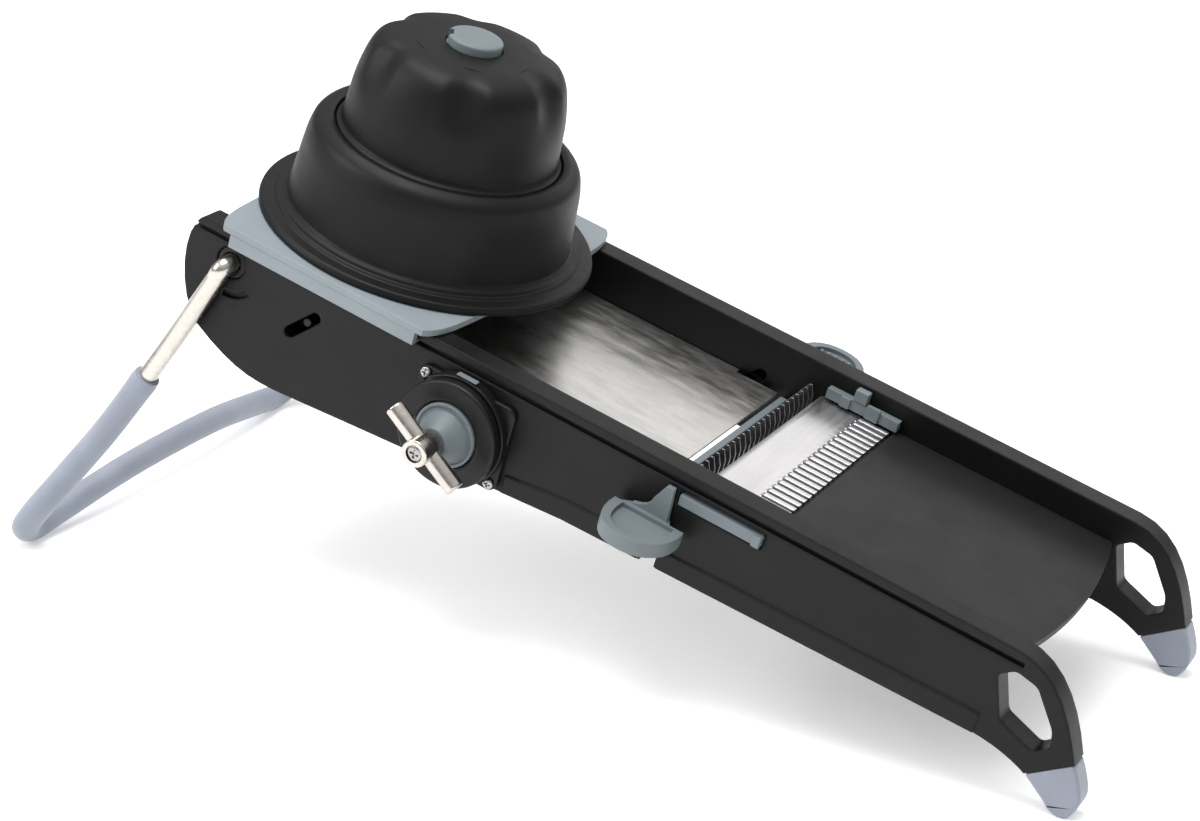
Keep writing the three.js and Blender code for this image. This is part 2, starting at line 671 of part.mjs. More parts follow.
// Half-moon thumb shelf on an upright fin against the rail. The far shelf stands higher, on a web,
// and its dish is ribbed.
function thumbTab(side) {
  const face = RAIL_OUT + 0.7 + GAP;
  const rise = side < 0 ? 0 : FAR_SHELF_RISE;
  const shelf = new THREE.Shape();
  shelf.moveTo(204, -face - 3);
  shelf.lineTo(206.5, -face - 3);
  shelf.lineTo(210.5, -face);
  shelf.lineTo(226.2, -face);
  shelf.lineTo(227.5, -face - 3);
  shelf.lineTo(233.6, -face - 3);
  shelf.bezierCurveTo(235.5, -82, 230, -92.6, 218.5, -92.6);
  shelf.bezierCurveTo(208, -92.6, 203, -84, 204, -face - 3);
  const dish = new THREE.Shape();
  dish.moveTo(208, -face - 4);
  dish.lineTo(230, -face - 4);
  dish.bezierCurveTo(231, -82, 227.5, -89.4, 218.7, -89.4);
  dish.bezierCurveTo(210.5, -89.4, 207, -83, 208, -face - 4);
  const fin = new THREE.Shape();
  fin.moveTo(210.5, -21.6);
  fin.lineTo(225.8, -21.6);
  fin.lineTo(224.7, -6.9);
  fin.lineTo(221.7, -6.9);
  fin.lineTo(218.2, -13.6);
  fin.quadraticCurveTo(217.5, -19, 210.5, -20);
  const tab = join(
    cut(
      flatPlate(shelf, SHELF_TOP - 6 + rise, SHELF_TOP + rise, 8),
      flatPlate(dish, SHELF_TOP - 1.8 + rise, SHELF_TOP + 6 + rise, 8),
    ),
    box(219.4, 224.6, -face - 0.6, -RAIL_OUT - 0.7, -26, -21.7),
  );
  if (side < 0) {
    return tab.add(sidePlate(fin, -face - 2.2, -face, 4));
  }
  const web = box(212, 225.8, -face - 2.2, -face, -26.4, SHELF_TOP - 1 + rise);
  const ribs = SHELF_RIBS.map((x) =>
    box(x, x + 1.2, -86, -face - 3, SHELF_TOP - 2.4 + rise, SHELF_TOP - 0.6 + rise));
  return join(tab, web, ...ribs).mirror([0, 1, 0]);
}

// ---------------------------------------------------------------- blade

// Slicing blade: a ground front edge, a flat, then a rippled rear half with a scalloped edge.
function slicingBlade() {
  const under = BLADE_TOP - BLADE_SHEET;
  const rippleStart = 245;
  const near = -57.4;
  const far = 56.5;
  const profile = polygon([[BLADE_EDGE, under], [rippleStart + 1, under], [rippleStart + 1, BLADE_TOP],
    [BLADE_EDGE + 2.6, BLADE_TOP]]);
  const scallops = [[rippleStart, near], [BLADE_BACK - 1.2, near]];
  const top = [];
  const start = near + 2.5;
  for (let i = 0; i <= RIDGES * 2; i += 1) {
    const y = start + (i * RIDGE_PITCH) / 2;
    const wave = Math.cos(i * Math.PI);
    scallops.push([BLADE_BACK - 0.6 - 0.6 * wave, y]);
    top.push([y, BLADE_TOP + 0.5 - 0.5 * wave]);
  }
  scallops.push([BLADE_BACK - 1.2, far], [rippleStart, far]);
  const section = new THREE.Shape();
  section.moveTo(start, under + 0.2);
  section.lineTo(start + RIDGES * RIDGE_PITCH, under + 0.2);
  top.reverse().forEach(([y, z]) => section.lineTo(y, z));
  const length = BLADE_BACK - rippleStart + 2;
  const ripple = new THREE.ExtrudeGeometry(section, { depth: length, bevelEnabled: false });
  ripple.applyMatrix4(new THREE.Matrix4().makeBasis(
    new THREE.Vector3(0, 1, 0),
    new THREE.Vector3(0, 0, 1),
    new THREE.Vector3(1, 0, 0),
  ));
  ripple.translate(rippleStart, 0, 0);
  const outline = polygon(scallops);
  return join(
    sidePlate(profile, near, far),
    flatPlate(outline, under, BLADE_TOP),
    solid(ripple).intersect(flatPlate(outline, under - 2, BLADE_TOP + 3)),
  );
}

// Grey grip bar that closes the slot in the rail and pulls the blade out.
function bladeGrip() {
  const inside = -RAIL_IN - GAP;
  return cut(
    join(
      box(226.8, 261.4, -RAIL_OUT - 1.4, inside, -12.9, -8.5),
      box(258, 261.4, -RAIL_OUT - 2.4, -RAIL_OUT - 1, -12.9, -8.5),
    ),
    box(230, 256, -64, inside + 1, -10.2, -5),
  );
}

function bladeGuide() {
  const face = RAIL_IN - GAP;
  return join(
    box(229.2, 261.4, face - 3.6, face, BLADE_TOP + 1.1, -6.6),
    box(236, 240, face - 4.6, face - 3, BLADE_TOP + 1.1, -6.7),
    box(247.4, 253, face - 4.6, face - 3, BLADE_TOP + 1.1, -5.2),
  );
}

function bladeCatch() {
  const face = RAIL_IN - GAP;
  return box(240.6, 246.4, face - 4.2, face - 0.2, -6.3, -1.2);
}

// ---------------------------------------------------------------- carriage and food sleeve

function carriagePlate() {
  const halfWidth = 71;
  const rear = 21;
  const front = 108;
  const bulge = 12.5;
  const shape = new THREE.Shape();
  shape.moveTo(rear - 3, -halfWidth);
  shape.lineTo(front + 3, -halfWidth);
  shape.quadraticCurveTo(front + 8, -halfWidth + 4, front + 9, -halfWidth + 20);
  shape.quadraticCurveTo(front + bulge + 1, 0, front + 9, halfWidth - 20);
  shape.quadraticCurveTo(front + 8, halfWidth - 4, front + 3, halfWidth);
  shape.lineTo(rear - 3, halfWidth);
  shape.quadraticCurveTo(rear - 8, halfWidth - 4, rear - 9, halfWidth - 20);
  shape.quadraticCurveTo(rear - bulge - 1, 0, rear - 9, -halfWidth + 20);
  shape.quadraticCurveTo(rear - 8, -halfWidth + 4, rear - 3, -halfWidth);
  const skirts = [-1, 1].map((side) => {
    const wall = [side * (RAIL_OUT + 0.4), side * 70.6].sort((a, b) => a - b);
    const lip = [side * (RAIL_OUT - GROOVE_DEPTH + 0.4), side * 70.6].sort((a, b) => a - b);
    return join(
      box(rear, front, wall[0], wall[1], -5.3, PLATE_BOTTOM + 0.5),
      box(rear, front, lip[0], lip[1], -5.3, -4.1),
    );
  });
  return cut(
    join(flatPlate(shape, PLATE_BOTTOM, PLATE_TOP, 6), ...skirts),
    uprightCylinder(DOME_X, 0, HOLE_RADIUS, -10, 10, 48),
  );
}

// Round sleeve that holds the food and guides the pusher.
function foodSleeve() {
  const seat = PLATE_TOP + GAP;
  return turned([
    [52.4, 0.7], [54.6, 0.7], [54.6, seat], [68, seat], [67.4, 6.6], [63, 7.0], [60.6, 8.3],
    [57.4, 9.4], [55.3, 35], [53.6, 41.6], [49, 44.6], [45.7, 43.8], [45.7, LEDGE],
    [41.7, LEDGE], [41.7, 38.4], [51, 36], [52.4, 0.7],
  ], DOME_X, TURNED_SIDES);
}

// ---------------------------------------------------------------- pusher

const GRIP_FLUTES = 6;

// Radius of the pusher's grip at a height and angle: a dome with six shallow finger hollows.
function gripRadius(base, height, angle) {
  const band = Math.exp(-(((height - 77) / 9) ** 2));
  const flute = Math.max(0, Math.cos(GRIP_FLUTES * angle)) ** 1.5;
  return base - 3.2 * band * flute;
}

function grip() {
  const rows = [[45.3, 41.5], [45.3, 43.3], [43.6, 44.4], [42.4, 60], [40.9, 69], [38.6, 76.6],
    [33.6, 82], [25, 84], [13, DOME_TOP]];
  const sides = TURNED_SIDES;
  const vertices = [];
  rows.forEach(([base, height]) => {
    for (let i = 0; i < sides; i += 1) {
      const angle = (2 * Math.PI * i) / sides;
      const radius = gripRadius(base, height, angle);
      vertices.push(DOME_X + radius * Math.cos(angle), radius * Math.sin(angle), height);
    }
  });
  const index = [];
  for (let row = 0; row < rows.length - 1; row += 1) {
    for (let i = 0; i < sides; i += 1) {
      const a = row * sides + i;
      const b = row * sides + ((i + 1) % sides);
      index.push(a, b, b + sides, a, b + sides, a + sides);
    }
  }
  const last = (rows.length - 1) * sides;
  for (let i = 1; i < sides - 1; i += 1) {
    index.push(0, i + 1, i, last, last + i, last + i + 1);
  }
  const geometry = new THREE.BufferGeometry();
  geometry.setAttribute('position', new THREE.Float32BufferAttribute(vertices, 3));
  geometry.setIndex(index);
  return solid(geometry);
}

const POCKET_FLOOR = 64;

// The pusher: the grip, a skirt that slides in the sleeve, and the button's pocket.
function pusherBody() {
  const skirt = uprightCylinder(DOME_X, 0, 41.2, 4, 43, TURNED_SIDES);
  const room = turned([[0, 2], [38.8, 2], [38.8, 56], [36.6, 70], [31, 77.5], [24, 80.6], [0, 81]],
    DOME_X, 24);
  const pocket = uprightCylinder(DOME_X, 0, 13.4, POCKET_FLOOR - 2, 82, 24);
  return cut(
    join(cut(join(grip(), skirt), room), pocket),
    uprightCylinder(DOME_X, 0, BUTTON_RADIUS + 0.4, POCKET_FLOOR, 95, 24),
    uprightCylinder(DOME_X, 0, 3.3, 50, 90, 12),
  );
}

function pusherButton() {
  return join(
    uprightCylinder(DOME_X, 0, BUTTON_RADIUS, 80.4, 86.9, 24),
    uprightCylinder(DOME_X, 0, BUTTON_RADIUS, 86.9, 87.8, 24, BUTTON_RADIUS - 0.9),
    uprightCylinder(DOME_X, 0, 2.9, 58, 81, 12),
  );
}

function stemClip() {
  return cut(
    uprightCylinder(DOME_X, 0, 5.2, 60.4, 61.6, 12),
    uprightCylinder(DOME_X, 0, 2.95, 55, 65, 12),
  );
}

function buttonSpring() {
  const turns = 4;
  const radius = 6.4;
  const low = POCKET_FLOOR + 1.1;
  const high = 79.4;
  const points = [];
  const stepsPerTurn = 10;
  for (let i = 0; i <= turns * stepsPerTurn; i += 1) {
    const angle = (2 * Math.PI * i) / stepsPerTurn;
    const height = low + ((high - low) * i) / (turns * stepsPerTurn);
    points.push(new THREE.Vector3(
      DOME_X + radius * Math.cos(angle),
      radius * Math.sin(angle),
      height,
    ));
  }
  return tube(new THREE.CatmullRomCurve3(points), 0.7, 5, turns * stepsPerTurn);
}

// Plate that closes the pusher's skirt, with prongs that hold the food.
function prongPlate() {
  const prongs = [uprightProng(0, 0)];
  [[16, 6], [30, 10]].forEach(([radius, count]) => {
    for (let i = 0; i < count; i += 1) {
      const angle = (2 * Math.PI * i) / count;
      prongs.push(uprightProng(radius * Math.cos(angle), radius * Math.sin(angle)));
    }
  });
  return join(uprightCylinder(DOME_X, 0, 38.5, 4.2, 6.6, 36), ...prongs);
}

function uprightProng(x, y) {
  return uprightCylinder(DOME_X + x, y, 0.35, -5.4, 4.6, 6, 1.3);
}

// ---------------------------------------------------------------- assembly

const deck = new THREE.Group();
deck.add(
  mesh('rail_dial_side', dialSideRail(), BLACK),
  mesh('rail_latch_side', latchSideRail(), BLACK),
  mesh('foot_tip_dial_side', footTip(-1), SILICONE),
  mesh('foot_tip_latch_side', footTip(1), SILICONE),
  mesh('runout_bed', runoutBed(), CHARCOAL),
  mesh('rear_cross_member', rearCrossMember(), BLACK),
  mesh('escutcheon', escutcheon(), BLACK),
  mesh('dial_index_mark', indexMark(), GREY),
  mesh('blade_guide', bladeGuide(), GREY),
  mesh('leg_bush_dial_side', legBush(-1), BLACK),
  mesh('leg_bush_latch_side', legBush(1), BLACK),
);
['dial', 'latch'].forEach((label, index) => {
  const side = index === 0 ? -1 : 1;
  memberScrews(side, 0, 2.6).forEach((body, count) => {
    deck.add(mesh(`member_screw_${label}_side_${count + 1}`, body, DARK_STEEL));
  });
});
ESCUTCHEON_SCREWS.forEach((at, count) => {
  deck.add(mesh(`escutcheon_screw_${count + 1}`, escutcheonScrew(at), STEEL));
});

const leg = new THREE.Group();
leg.add(mesh('leg_rod', legRod(), STEEL), mesh('leg_sleeve', legSleeve(), SILICONE));

const ramp = new THREE.Group();
ramp.add(
  mesh('ramp_plate', rampPlate(), STEEL),
  mesh('ramp_carrier', rampCarrier(), BLACK),
  mesh('ramp_pin_dial_side', guidePin(REAR_PIN, -1, 66.4), STEEL),
  mesh('ramp_pin_latch_side', guidePin(REAR_PIN, 1, 66.4), STEEL),
  mesh('cam_follower_pin', guidePin(followerPin, -1, 69.4), STEEL),
  mesh('front_pin_latch_side', guidePin(FAR_PIN, 1, RAIL_IN + FAR_NOTCH_DEPTH - 0.5), STEEL),
);

const dial = new THREE.Group();
dial.add(
  mesh('dial_disc', dialDisc(), BLACK),
  mesh('dial_drum', dialDrum(), BLACK),
  mesh('dial_hub', dialHub(), GREY),
  mesh('dial_t_bar', tBar(), STEEL),
  mesh('dial_t_bar_screw', barScrew(), STEEL),
);

const comb = new THREE.Group();
comb.add(
  mesh('comb_holder', combHolder(), GREY),
  mesh('julienne_comb', julienneComb(), STEEL),
  mesh('thumb_tab_dial_side', thumbTab(-1), GREY),
  mesh('thumb_tab_latch_side', thumbTab(1), GREY),
);

const cassette = new THREE.Group();
cassette.add(
  mesh('slicing_blade', slicingBlade(), STEEL),
  mesh('blade_grip', bladeGrip(), GREY),
);

const catchBlock = new THREE.Group();
catchBlock.add(mesh('blade_catch', bladeCatch(), GREY));

const carriage = new THREE.Group();
carriage.add(
  mesh('carriage_plate', carriagePlate(), GREY_BLUE),
  mesh('food_sleeve', foodSleeve(), BLACK),
);

const pusher = new THREE.Group();
pusher.add(
  mesh('pusher_body', pusherBody(), BLACK),
  mesh('prong_plate', prongPlate(), CHARCOAL),
);

const button = new THREE.Group();
button.add(
  mesh('pusher_button', pusherButton(), GREY),
  mesh('button_stem_clip', stemClip(), DARK_STEEL),
  mesh('button_spring', buttonSpring(), STEEL),
);

deck.add(leg, ramp, dial, comb, cassette, catchBlock, carriage, pusher, button);

// Tilt the deck, then put the origin under the middle of the whole slicer, on the plane it
// stands on.
deck.rotation.y = TILT;
const slicer = new THREE.Group();
slicer.add(deck);
slicer.updateMatrixWorld(true);
const bounds = new THREE.Box3().setFromObject(slicer, true);
const middle = bounds.getCenter(new THREE.Vector3());
deck.position.set(-middle.x, -middle.y, -bounds.min.z);

export default slicer;
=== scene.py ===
"""Looks of the mandoline slicer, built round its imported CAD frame.

Shapes are drawn in the deck's own frame, in millimetres, as in the CAD source: x runs from the
raised rear end to the feet, y across the deck (negative on the dial's side), and z is the deck's
normal with z = 0 at the top of the side rails. DECK turns that into the row frame, in metres.
"""

import json
import math

import bmesh
import bpy
from mathutils import Matrix, Vector, noise


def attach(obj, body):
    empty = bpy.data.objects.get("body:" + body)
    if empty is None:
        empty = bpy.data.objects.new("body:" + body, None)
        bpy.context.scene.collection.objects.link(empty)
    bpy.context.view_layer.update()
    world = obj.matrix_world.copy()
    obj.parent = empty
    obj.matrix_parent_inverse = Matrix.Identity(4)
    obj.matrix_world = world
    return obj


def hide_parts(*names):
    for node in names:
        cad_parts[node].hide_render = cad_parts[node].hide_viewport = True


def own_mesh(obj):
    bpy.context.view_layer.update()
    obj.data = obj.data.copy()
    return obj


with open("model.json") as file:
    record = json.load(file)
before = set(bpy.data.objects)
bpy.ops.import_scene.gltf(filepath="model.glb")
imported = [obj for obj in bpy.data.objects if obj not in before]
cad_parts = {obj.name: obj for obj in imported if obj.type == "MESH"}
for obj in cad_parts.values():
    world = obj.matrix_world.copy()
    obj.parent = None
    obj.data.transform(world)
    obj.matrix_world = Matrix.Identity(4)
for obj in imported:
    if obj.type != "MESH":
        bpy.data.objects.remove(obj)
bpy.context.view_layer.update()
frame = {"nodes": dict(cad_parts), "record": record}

# ---------------------------------------------------------------- the deck's frame

JOINTS = {joint["name"]: joint for joint in frame["record"]["behaviour"]["joints"]}
MM = 0.001
ACROSS = Vector((0, 1, 0))
ALONG = Vector(JOINTS["carriage_slide"]["axis"]).normalized()
NORMAL = ALONG.cross(ACROSS)
LEG_PIVOT = (21.9, -13.1)
LEG_AXIS = Vector(JOINTS["leg_fold"]["pos_m"])
ORIGIN = LEG_AXIS - (ALONG * LEG_PIVOT[0] + NORMAL * LEG_PIVOT[1]) * MM
DECK = Matrix((
    (ALONG.x * MM, ACROSS.x * MM, NORMAL.x * MM, ORIGIN.x),
    (ALONG.y * MM, ACROSS.y * MM, NORMAL.y * MM, ORIGIN.y),
    (ALONG.z * MM, ACROSS.z * MM, NORMAL.z * MM, ORIGIN.z),
    (0, 0, 0, 1),
))

DOME_X = 66.0
DIAL = (134.2, -28.9)
# Turns a profile of (radius, height) so that its height runs towards -y, out of the dial's rail.
OUTWARDS = Matrix.Rotation(math.radians(90), 4, "X")


# ---------------------------------------------------------------- materials

def new_material(name):
    material = bpy.data.materials.new(name)
    material.use_nodes = True
    nodes = material.node_tree.nodes
    return material, nodes, material.node_tree.links, nodes["Principled BSDF"]


def noise_node(nodes, links, scale, detail=4.0, roughness=0.55, stretch=None):
    """Noise in object space. stretch scales the three axes, so that grain can run one way."""
    place = nodes.new("ShaderNodeTexCoord")
    texture = nodes.new("ShaderNodeTexNoise")
    texture.inputs["Scale"].default_value = scale
    texture.inputs["Detail"].default_value = detail
    texture.inputs["Roughness"].default_value = roughness
    source = place.outputs["Object"]
    if stretch:
        mapping = nodes.new("ShaderNodeMapping")
        mapping.inputs["Rotation"].default_value = stretch[1]
        mapping.inputs["Scale"].default_value = stretch[0]
        links.new(source, mapping.inputs["Vector"])
        source = mapping.outputs["Vector"]
    links.new(source, texture.inputs["Vector"])
    return texture.outputs["Fac"]


def ramp_node(nodes, links, source, stops):
    """Maps a 0..1 value through colour stops."""
    ramp = nodes.new("ShaderNodeValToRGB")
    while len(ramp.color_ramp.elements) < len(stops):
        ramp.color_ramp.elements.new(0.5)
    for element, (place, value) in zip(ramp.color_ramp.elements, stops):
        element.position = place
        element.color = (*value, 1) if isinstance(value, tuple) else (value, value, value, 1)
    links.new(source, ramp.inputs["Fac"])
    return ramp.outputs["Color"]


def mix_node(nodes, links, amount, first, second, kind="MIX"):
    mix = nodes.new("ShaderNodeMix")
    mix.data_type = "RGBA"
    mix.blend_type = kind
    for socket, value in ((mix.inputs[0], amount), (mix.inputs[6], first), (mix.inputs[7], second)):
        if isinstance(value, (int, float)):
            socket.default_value = value
        elif isinstance(value, tuple):
            socket.default_value = (*value, 1)
        else:
            links.new(value, socket)
    return mix.outputs[2]


def edge_mask(nodes, links, radius):
    """1 on sharp edges and 0 on flats: how far a bevelled normal leans from the true one."""
    bevel = nodes.new("ShaderNodeBevel")
    bevel.samples = 4
    bevel.inputs["Radius"].default_value = radius
    shape = nodes.new("ShaderNodeNewGeometry")
    lean = nodes.new("ShaderNodeVectorMath")
    lean.operation = "DOT_PRODUCT"
    links.new(bevel.outputs["Normal"], lean.inputs[0])
    links.new(shape.outputs["Normal"], lean.inputs[1])
    spread = nodes.new("ShaderNodeMapRange")
    spread.inputs["From Min"].default_value = 0.985
    spread.inputs["From Max"].default_value = 0.80
    links.new(lean.outputs["Value"], spread.inputs["Value"])
    return spread.outputs["Result"]


def bump_chain(nodes, links, layers, last=None):
    """Bumps in a row: (height, strength, distance) each."""
    for height, strength, distance in layers:
        bump = nodes.new("ShaderNodeBump")
        bump.inputs["Strength"].default_value = strength
        bump.inputs["Distance"].default_value = distance
        links.new(height, bump.inputs["Height"])
        if last is not None:
            links.new(last, bump.inputs["Normal"])
        last = bump.outputs["Normal"]
    return last


def soft_normal(nodes, radius):
    """Normals that turn over softly at the edges, as on a moulding with wide radii."""
    bevel = nodes.new("ShaderNodeBevel")
    bevel.samples = 4
    bevel.inputs["Radius"].default_value = radius
    return bevel.outputs["Normal"]


def moulded(name, colour, roughness, grain=0.2, wear=1.7, mottle=0.12, specular=0.5, soft=0.0):
    """Moulded plastic: fine spark-eroded grain, patchy gloss, edges rubbed paler and smoother."""
    material, nodes, links, shader = new_material(name)
    broad = noise_node(nodes, links, 38.0, 3.0)
    fine = noise_node(nodes, links, 1500.0, 2.0)
    speck = noise_node(nodes, links, 620.0, 5.0, 0.7)
    tone = ramp_node(nodes, links, broad, [(0.3, 1.0 - mottle), (0.7, 1.0 + mottle)])
    body = mix_node(nodes, links, 1.0, colour, tone, "MULTIPLY")
    dust = ramp_node(nodes, links, speck, [(0.60, 0.0), (0.74, 1.0)])
    pale = tuple(min(1.0, channel * wear + 0.004) for channel in colour)
    dusty = mix_node(nodes, links, 0.25, body, pale)
    body = mix_node(nodes, links, dust, body, dusty)
    edges = edge_mask(nodes, links, 0.0006)
    broken = ramp_node(nodes, links, noise_node(nodes, links, 210.0, 4.0), [(0.35, 0.15), (0.65, 0.8)])
    worn = nodes.new("ShaderNodeMath")
    worn.operation = "MULTIPLY"
    links.new(edges, worn.inputs[0])
    links.new(broken, worn.inputs[1])
    colour_out = mix_node(nodes, links, worn.outputs[0], body, pale)
    links.new(colour_out, shader.inputs["Base Color"])
    gloss = ramp_node(nodes, links, noise_node(nodes, links, 70.0, 5.0),
                      [(0.25, roughness - 0.05), (0.75, roughness + 0.07)])
    gloss = mix_node(nodes, links, worn.outputs[0], gloss, (roughness - 0.1,) * 3)
    links.new(gloss, shader.inputs["Roughness"])
    shader.inputs["Specular IOR Level"].default_value = specular
    start = soft_normal(nodes, soft) if soft else None
    normal = bump_chain(nodes, links, [(fine, grain, 0.00006), (broad, 0.08, 0.0004)], start)
    links.new(normal, shader.inputs["Normal"])
    return material


def rubber(name, colour):
    """Silicone: matt, faintly bloomed, with lint and a soft moulded skin."""
    material, nodes, links, shader = new_material(name)
    broad = noise_node(nodes, links, 60.0, 4.0)
    skin = noise_node(nodes, links, 900.0, 3.0)
    lint = noise_node(nodes, links, 420.0, 6.0, 0.75)
    tone = ramp_node(nodes, links, broad, [(0.3, 0.9), (0.7, 1.08)])
    body = mix_node(nodes, links, 1.0, colour, tone, "MULTIPLY")
    pale = tuple(min(1.0, channel * 1.35) for channel in colour)
    specks = ramp_node(nodes, links, lint, [(0.63, 0.0), (0.72, 0.6)])
    links.new(mix_node(nodes, links, specks, body, pale), shader.inputs["Base Color"])
    gloss = ramp_node(nodes, links, broad, [(0.3, 0.52), (0.7, 0.66)])
    links.new(gloss, shader.inputs["Roughness"])
    shader.inputs["Sheen Weight"].default_value = 0.25
    shader.inputs["Sheen Roughness"].default_value = 0.5
    links.new(bump_chain(nodes, links, [(skin, 0.25, 0.00008)]), shader.inputs["Normal"])
    return material


def metal(name, colour, roughness, run=None, scratch=0.12, anisotropy=0.0):
    """Polished steel. run gives the direction of its fine brushing and its hairline scratches."""
    material, nodes, links, shader = new_material(name)
    broad = noise_node(nodes, links, 25.0, 3.0)
    brushed = noise_node(nodes, links, 320.0, 5.0, 0.7, stretch=run)
    tone = ramp_node(nodes, links, broad, [(0.3, 0.93), (0.7, 1.03)])
    body = mix_node(nodes, links, 1.0, colour, tone, "MULTIPLY")
    lines = ramp_node(nodes, links, brushed, [(0.42, 0.86), (0.58, 1.04)])
    links.new(mix_node(nodes, links, 0.5, body, mix_node(nodes, links, 1.0, body, lines, "MULTIPLY")),
              shader.inputs["Base Color"])
    shader.inputs["Metallic"].default_value = 1.0
    shader.inputs["Anisotropic"].default_value = anisotropy
    gloss = ramp_node(nodes, links, brushed, [(0.35, roughness), (0.7, roughness + 0.12)])
    smear = ramp_node(nodes, links, broad, [(0.35, 0.0), (0.75, 0.06)])
    links.new(mix_node(nodes, links, 1.0, gloss, smear, "ADD"), shader.inputs["Roughness"])
    links.new(bump_chain(nodes, links, [(brushed, scratch, 0.00003), (broad, 0.05, 0.0003)]),
              shader.inputs["Normal"])
    return material


TILT = math.atan2(-ALONG.z, ALONG.x)
ALONG_GRAIN = ((0.04, 1.0, 1.0), (0.0, -TILT, 0.0))
ACROSS_GRAIN = ((1.0, 0.04, 1.0), (0.0, 0.0, 0.0))

BLACK = moulded("black_plastic", (0.0062, 0.0063, 0.0067), 0.38, specular=0.26)
RAIL_BLACK = moulded("rail_plastic", (0.0050, 0.0051, 0.0054), 0.42, specular=0.22, soft=0.0016)
DOME_BLACK = moulded("dome_plastic", (0.0042, 0.0043, 0.0048), 0.46, grain=0.12, specular=0.22)
CHARCOAL = moulded("charcoal_plastic", (0.0120, 0.0122, 0.0130), 0.46, specular=0.22)
CARRIAGE = moulded("carriage_plastic", (0.235, 0.268, 0.290), 0.42, wear=1.2, mottle=0.05,
                   specular=0.3)
GREY = moulded("grey_plastic", (0.150, 0.178, 0.190), 0.42, wear=1.25, mottle=0.06, specular=0.3)
SILICONE = rubber("silicone", (0.245, 0.270, 0.325))
SHEET = metal("ramp_sheet_steel", (0.70, 0.69, 0.665), 0.26, ALONG_GRAIN, 0.16)
EDGE = metal("blade_steel", (0.76, 0.745, 0.75), 0.24, ACROSS_GRAIN, 0.10)
ROD = metal("rod_steel", (0.60, 0.565, 0.52), 0.17, None, 0.05)
FASTENER = metal("fastener_steel", (0.40, 0.40, 0.40), 0.20, None, 0.10)
# Painted shade: the guide pins and their cheek plates are coloured near-black to stand for the shade
# inside the ramp's slots, not for the steel's own colour.
SHADED_PIN = metal("pin_painted_shade", (0.045, 0.045, 0.045), 0.34, None, 0.10)
# Painted shade: near-black steel on the valleys between the blade's ridges and on a strip under its
# back, standing for the shade between and below the ridges.
VALLEY_SHADE = metal("valley_painted_shade", (0.05, 0.05, 0.053), 0.36, ALONG_GRAIN, 0.12)
COMB_STEEL = metal("comb_steel", (0.22, 0.22, 0.23), 0.28, None, 0.10)

SLOTS = {
    "black_plastic": BLACK,
    "charcoal_plastic": CHARCOAL,
    "carriage_plastic": CARRIAGE,
    "grey_plastic": GREY,
    "silicone": SILICONE,
    "steel_sheet": SHEET,
    "steel_rod": ROD,
    "steel_fastener": FASTENER,
}


# ---------------------------------------------------------------- making pieces

def finish_piece(bm, name, body, slot, nodes, material=None, sharp=38.0):
    """Puts a bmesh, already in the row frame, into the scene as a piece that rides on a body."""
    bmesh.ops.recalc_face_normals(bm, faces=bm.faces)
    mesh = bpy.data.meshes.new(name)
    bm.to_mesh(mesh)
    bm.free()
    mesh.shade_smooth()
    mesh.set_sharp_from_angle(angle=math.radians(sharp))
    piece = bpy.data.objects.new(name, mesh)
    bpy.context.scene.collection.objects.link(piece)
    mesh.materials.append(material or SLOTS[slot])
    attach(piece, body)
    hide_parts(*nodes)
    return piece


def dressed(node, body, slot, bevel, segments=3, material=None):
    """A moulded piece on its CAD node's own shape, with its edges rounded over."""
    bm = bmesh.new()
    bm.from_mesh(frame["nodes"][node].data)
    bmesh.ops.remove_doubles(bm, verts=bm.verts, dist=5e-6)
    bmesh.ops.dissolve_limit(bm, angle_limit=math.radians(0.6), verts=bm.verts, edges=bm.edges)
    wide = [face for face in bm.faces if len(face.verts) > 4]
    bmesh.ops.triangulate(bm, faces=wide, ngon_method="BEAUTY")
    piece = finish_piece(bm, "shown_" + node, body, slot, [node], material)
    rounding = piece.modifiers.new("rounded edges", "BEVEL")
    rounding.width = bevel * MM
    rounding.segments = segments
    rounding.limit_method = "ANGLE"
    rounding.angle_limit = math.radians(28)
    rounding.miter_outer = "MITER_ARC"
    normals = piece.modifiers.new("face normals", "WEIGHTED_NORMAL")
    normals.keep_sharp = True
    normals.weight = 80
    return piece


def fillet(points, radius, steps=4, closed=True):
    """The polyline with its corners rounded. radius is one number, or one for each corner."""
    count = len(points)
    radii = radius if isinstance(radius, (list, tuple)) else [radius] * count
    rounded = []
    for i, corner in enumerate(points):
        if (not closed and i in (0, count - 1)) or radii[i] <= 0:
            rounded.append(tuple(corner))
            continue
        here = Vector(corner)
        before = Vector(points[i - 1]) - here
        after = Vector(points[(i + 1) % count]) - here
        reach = min(radii[i], before.length * 0.48, after.length * 0.48)
        start = here + before.normalized() * reach
        end = here + after.normalized() * reach
        for k in range(steps + 1):
            t = k / steps
            point = start * (1 - t) ** 2 + here * 2 * t * (1 - t) + end * t ** 2
            rounded.append(tuple(point))
    return rounded


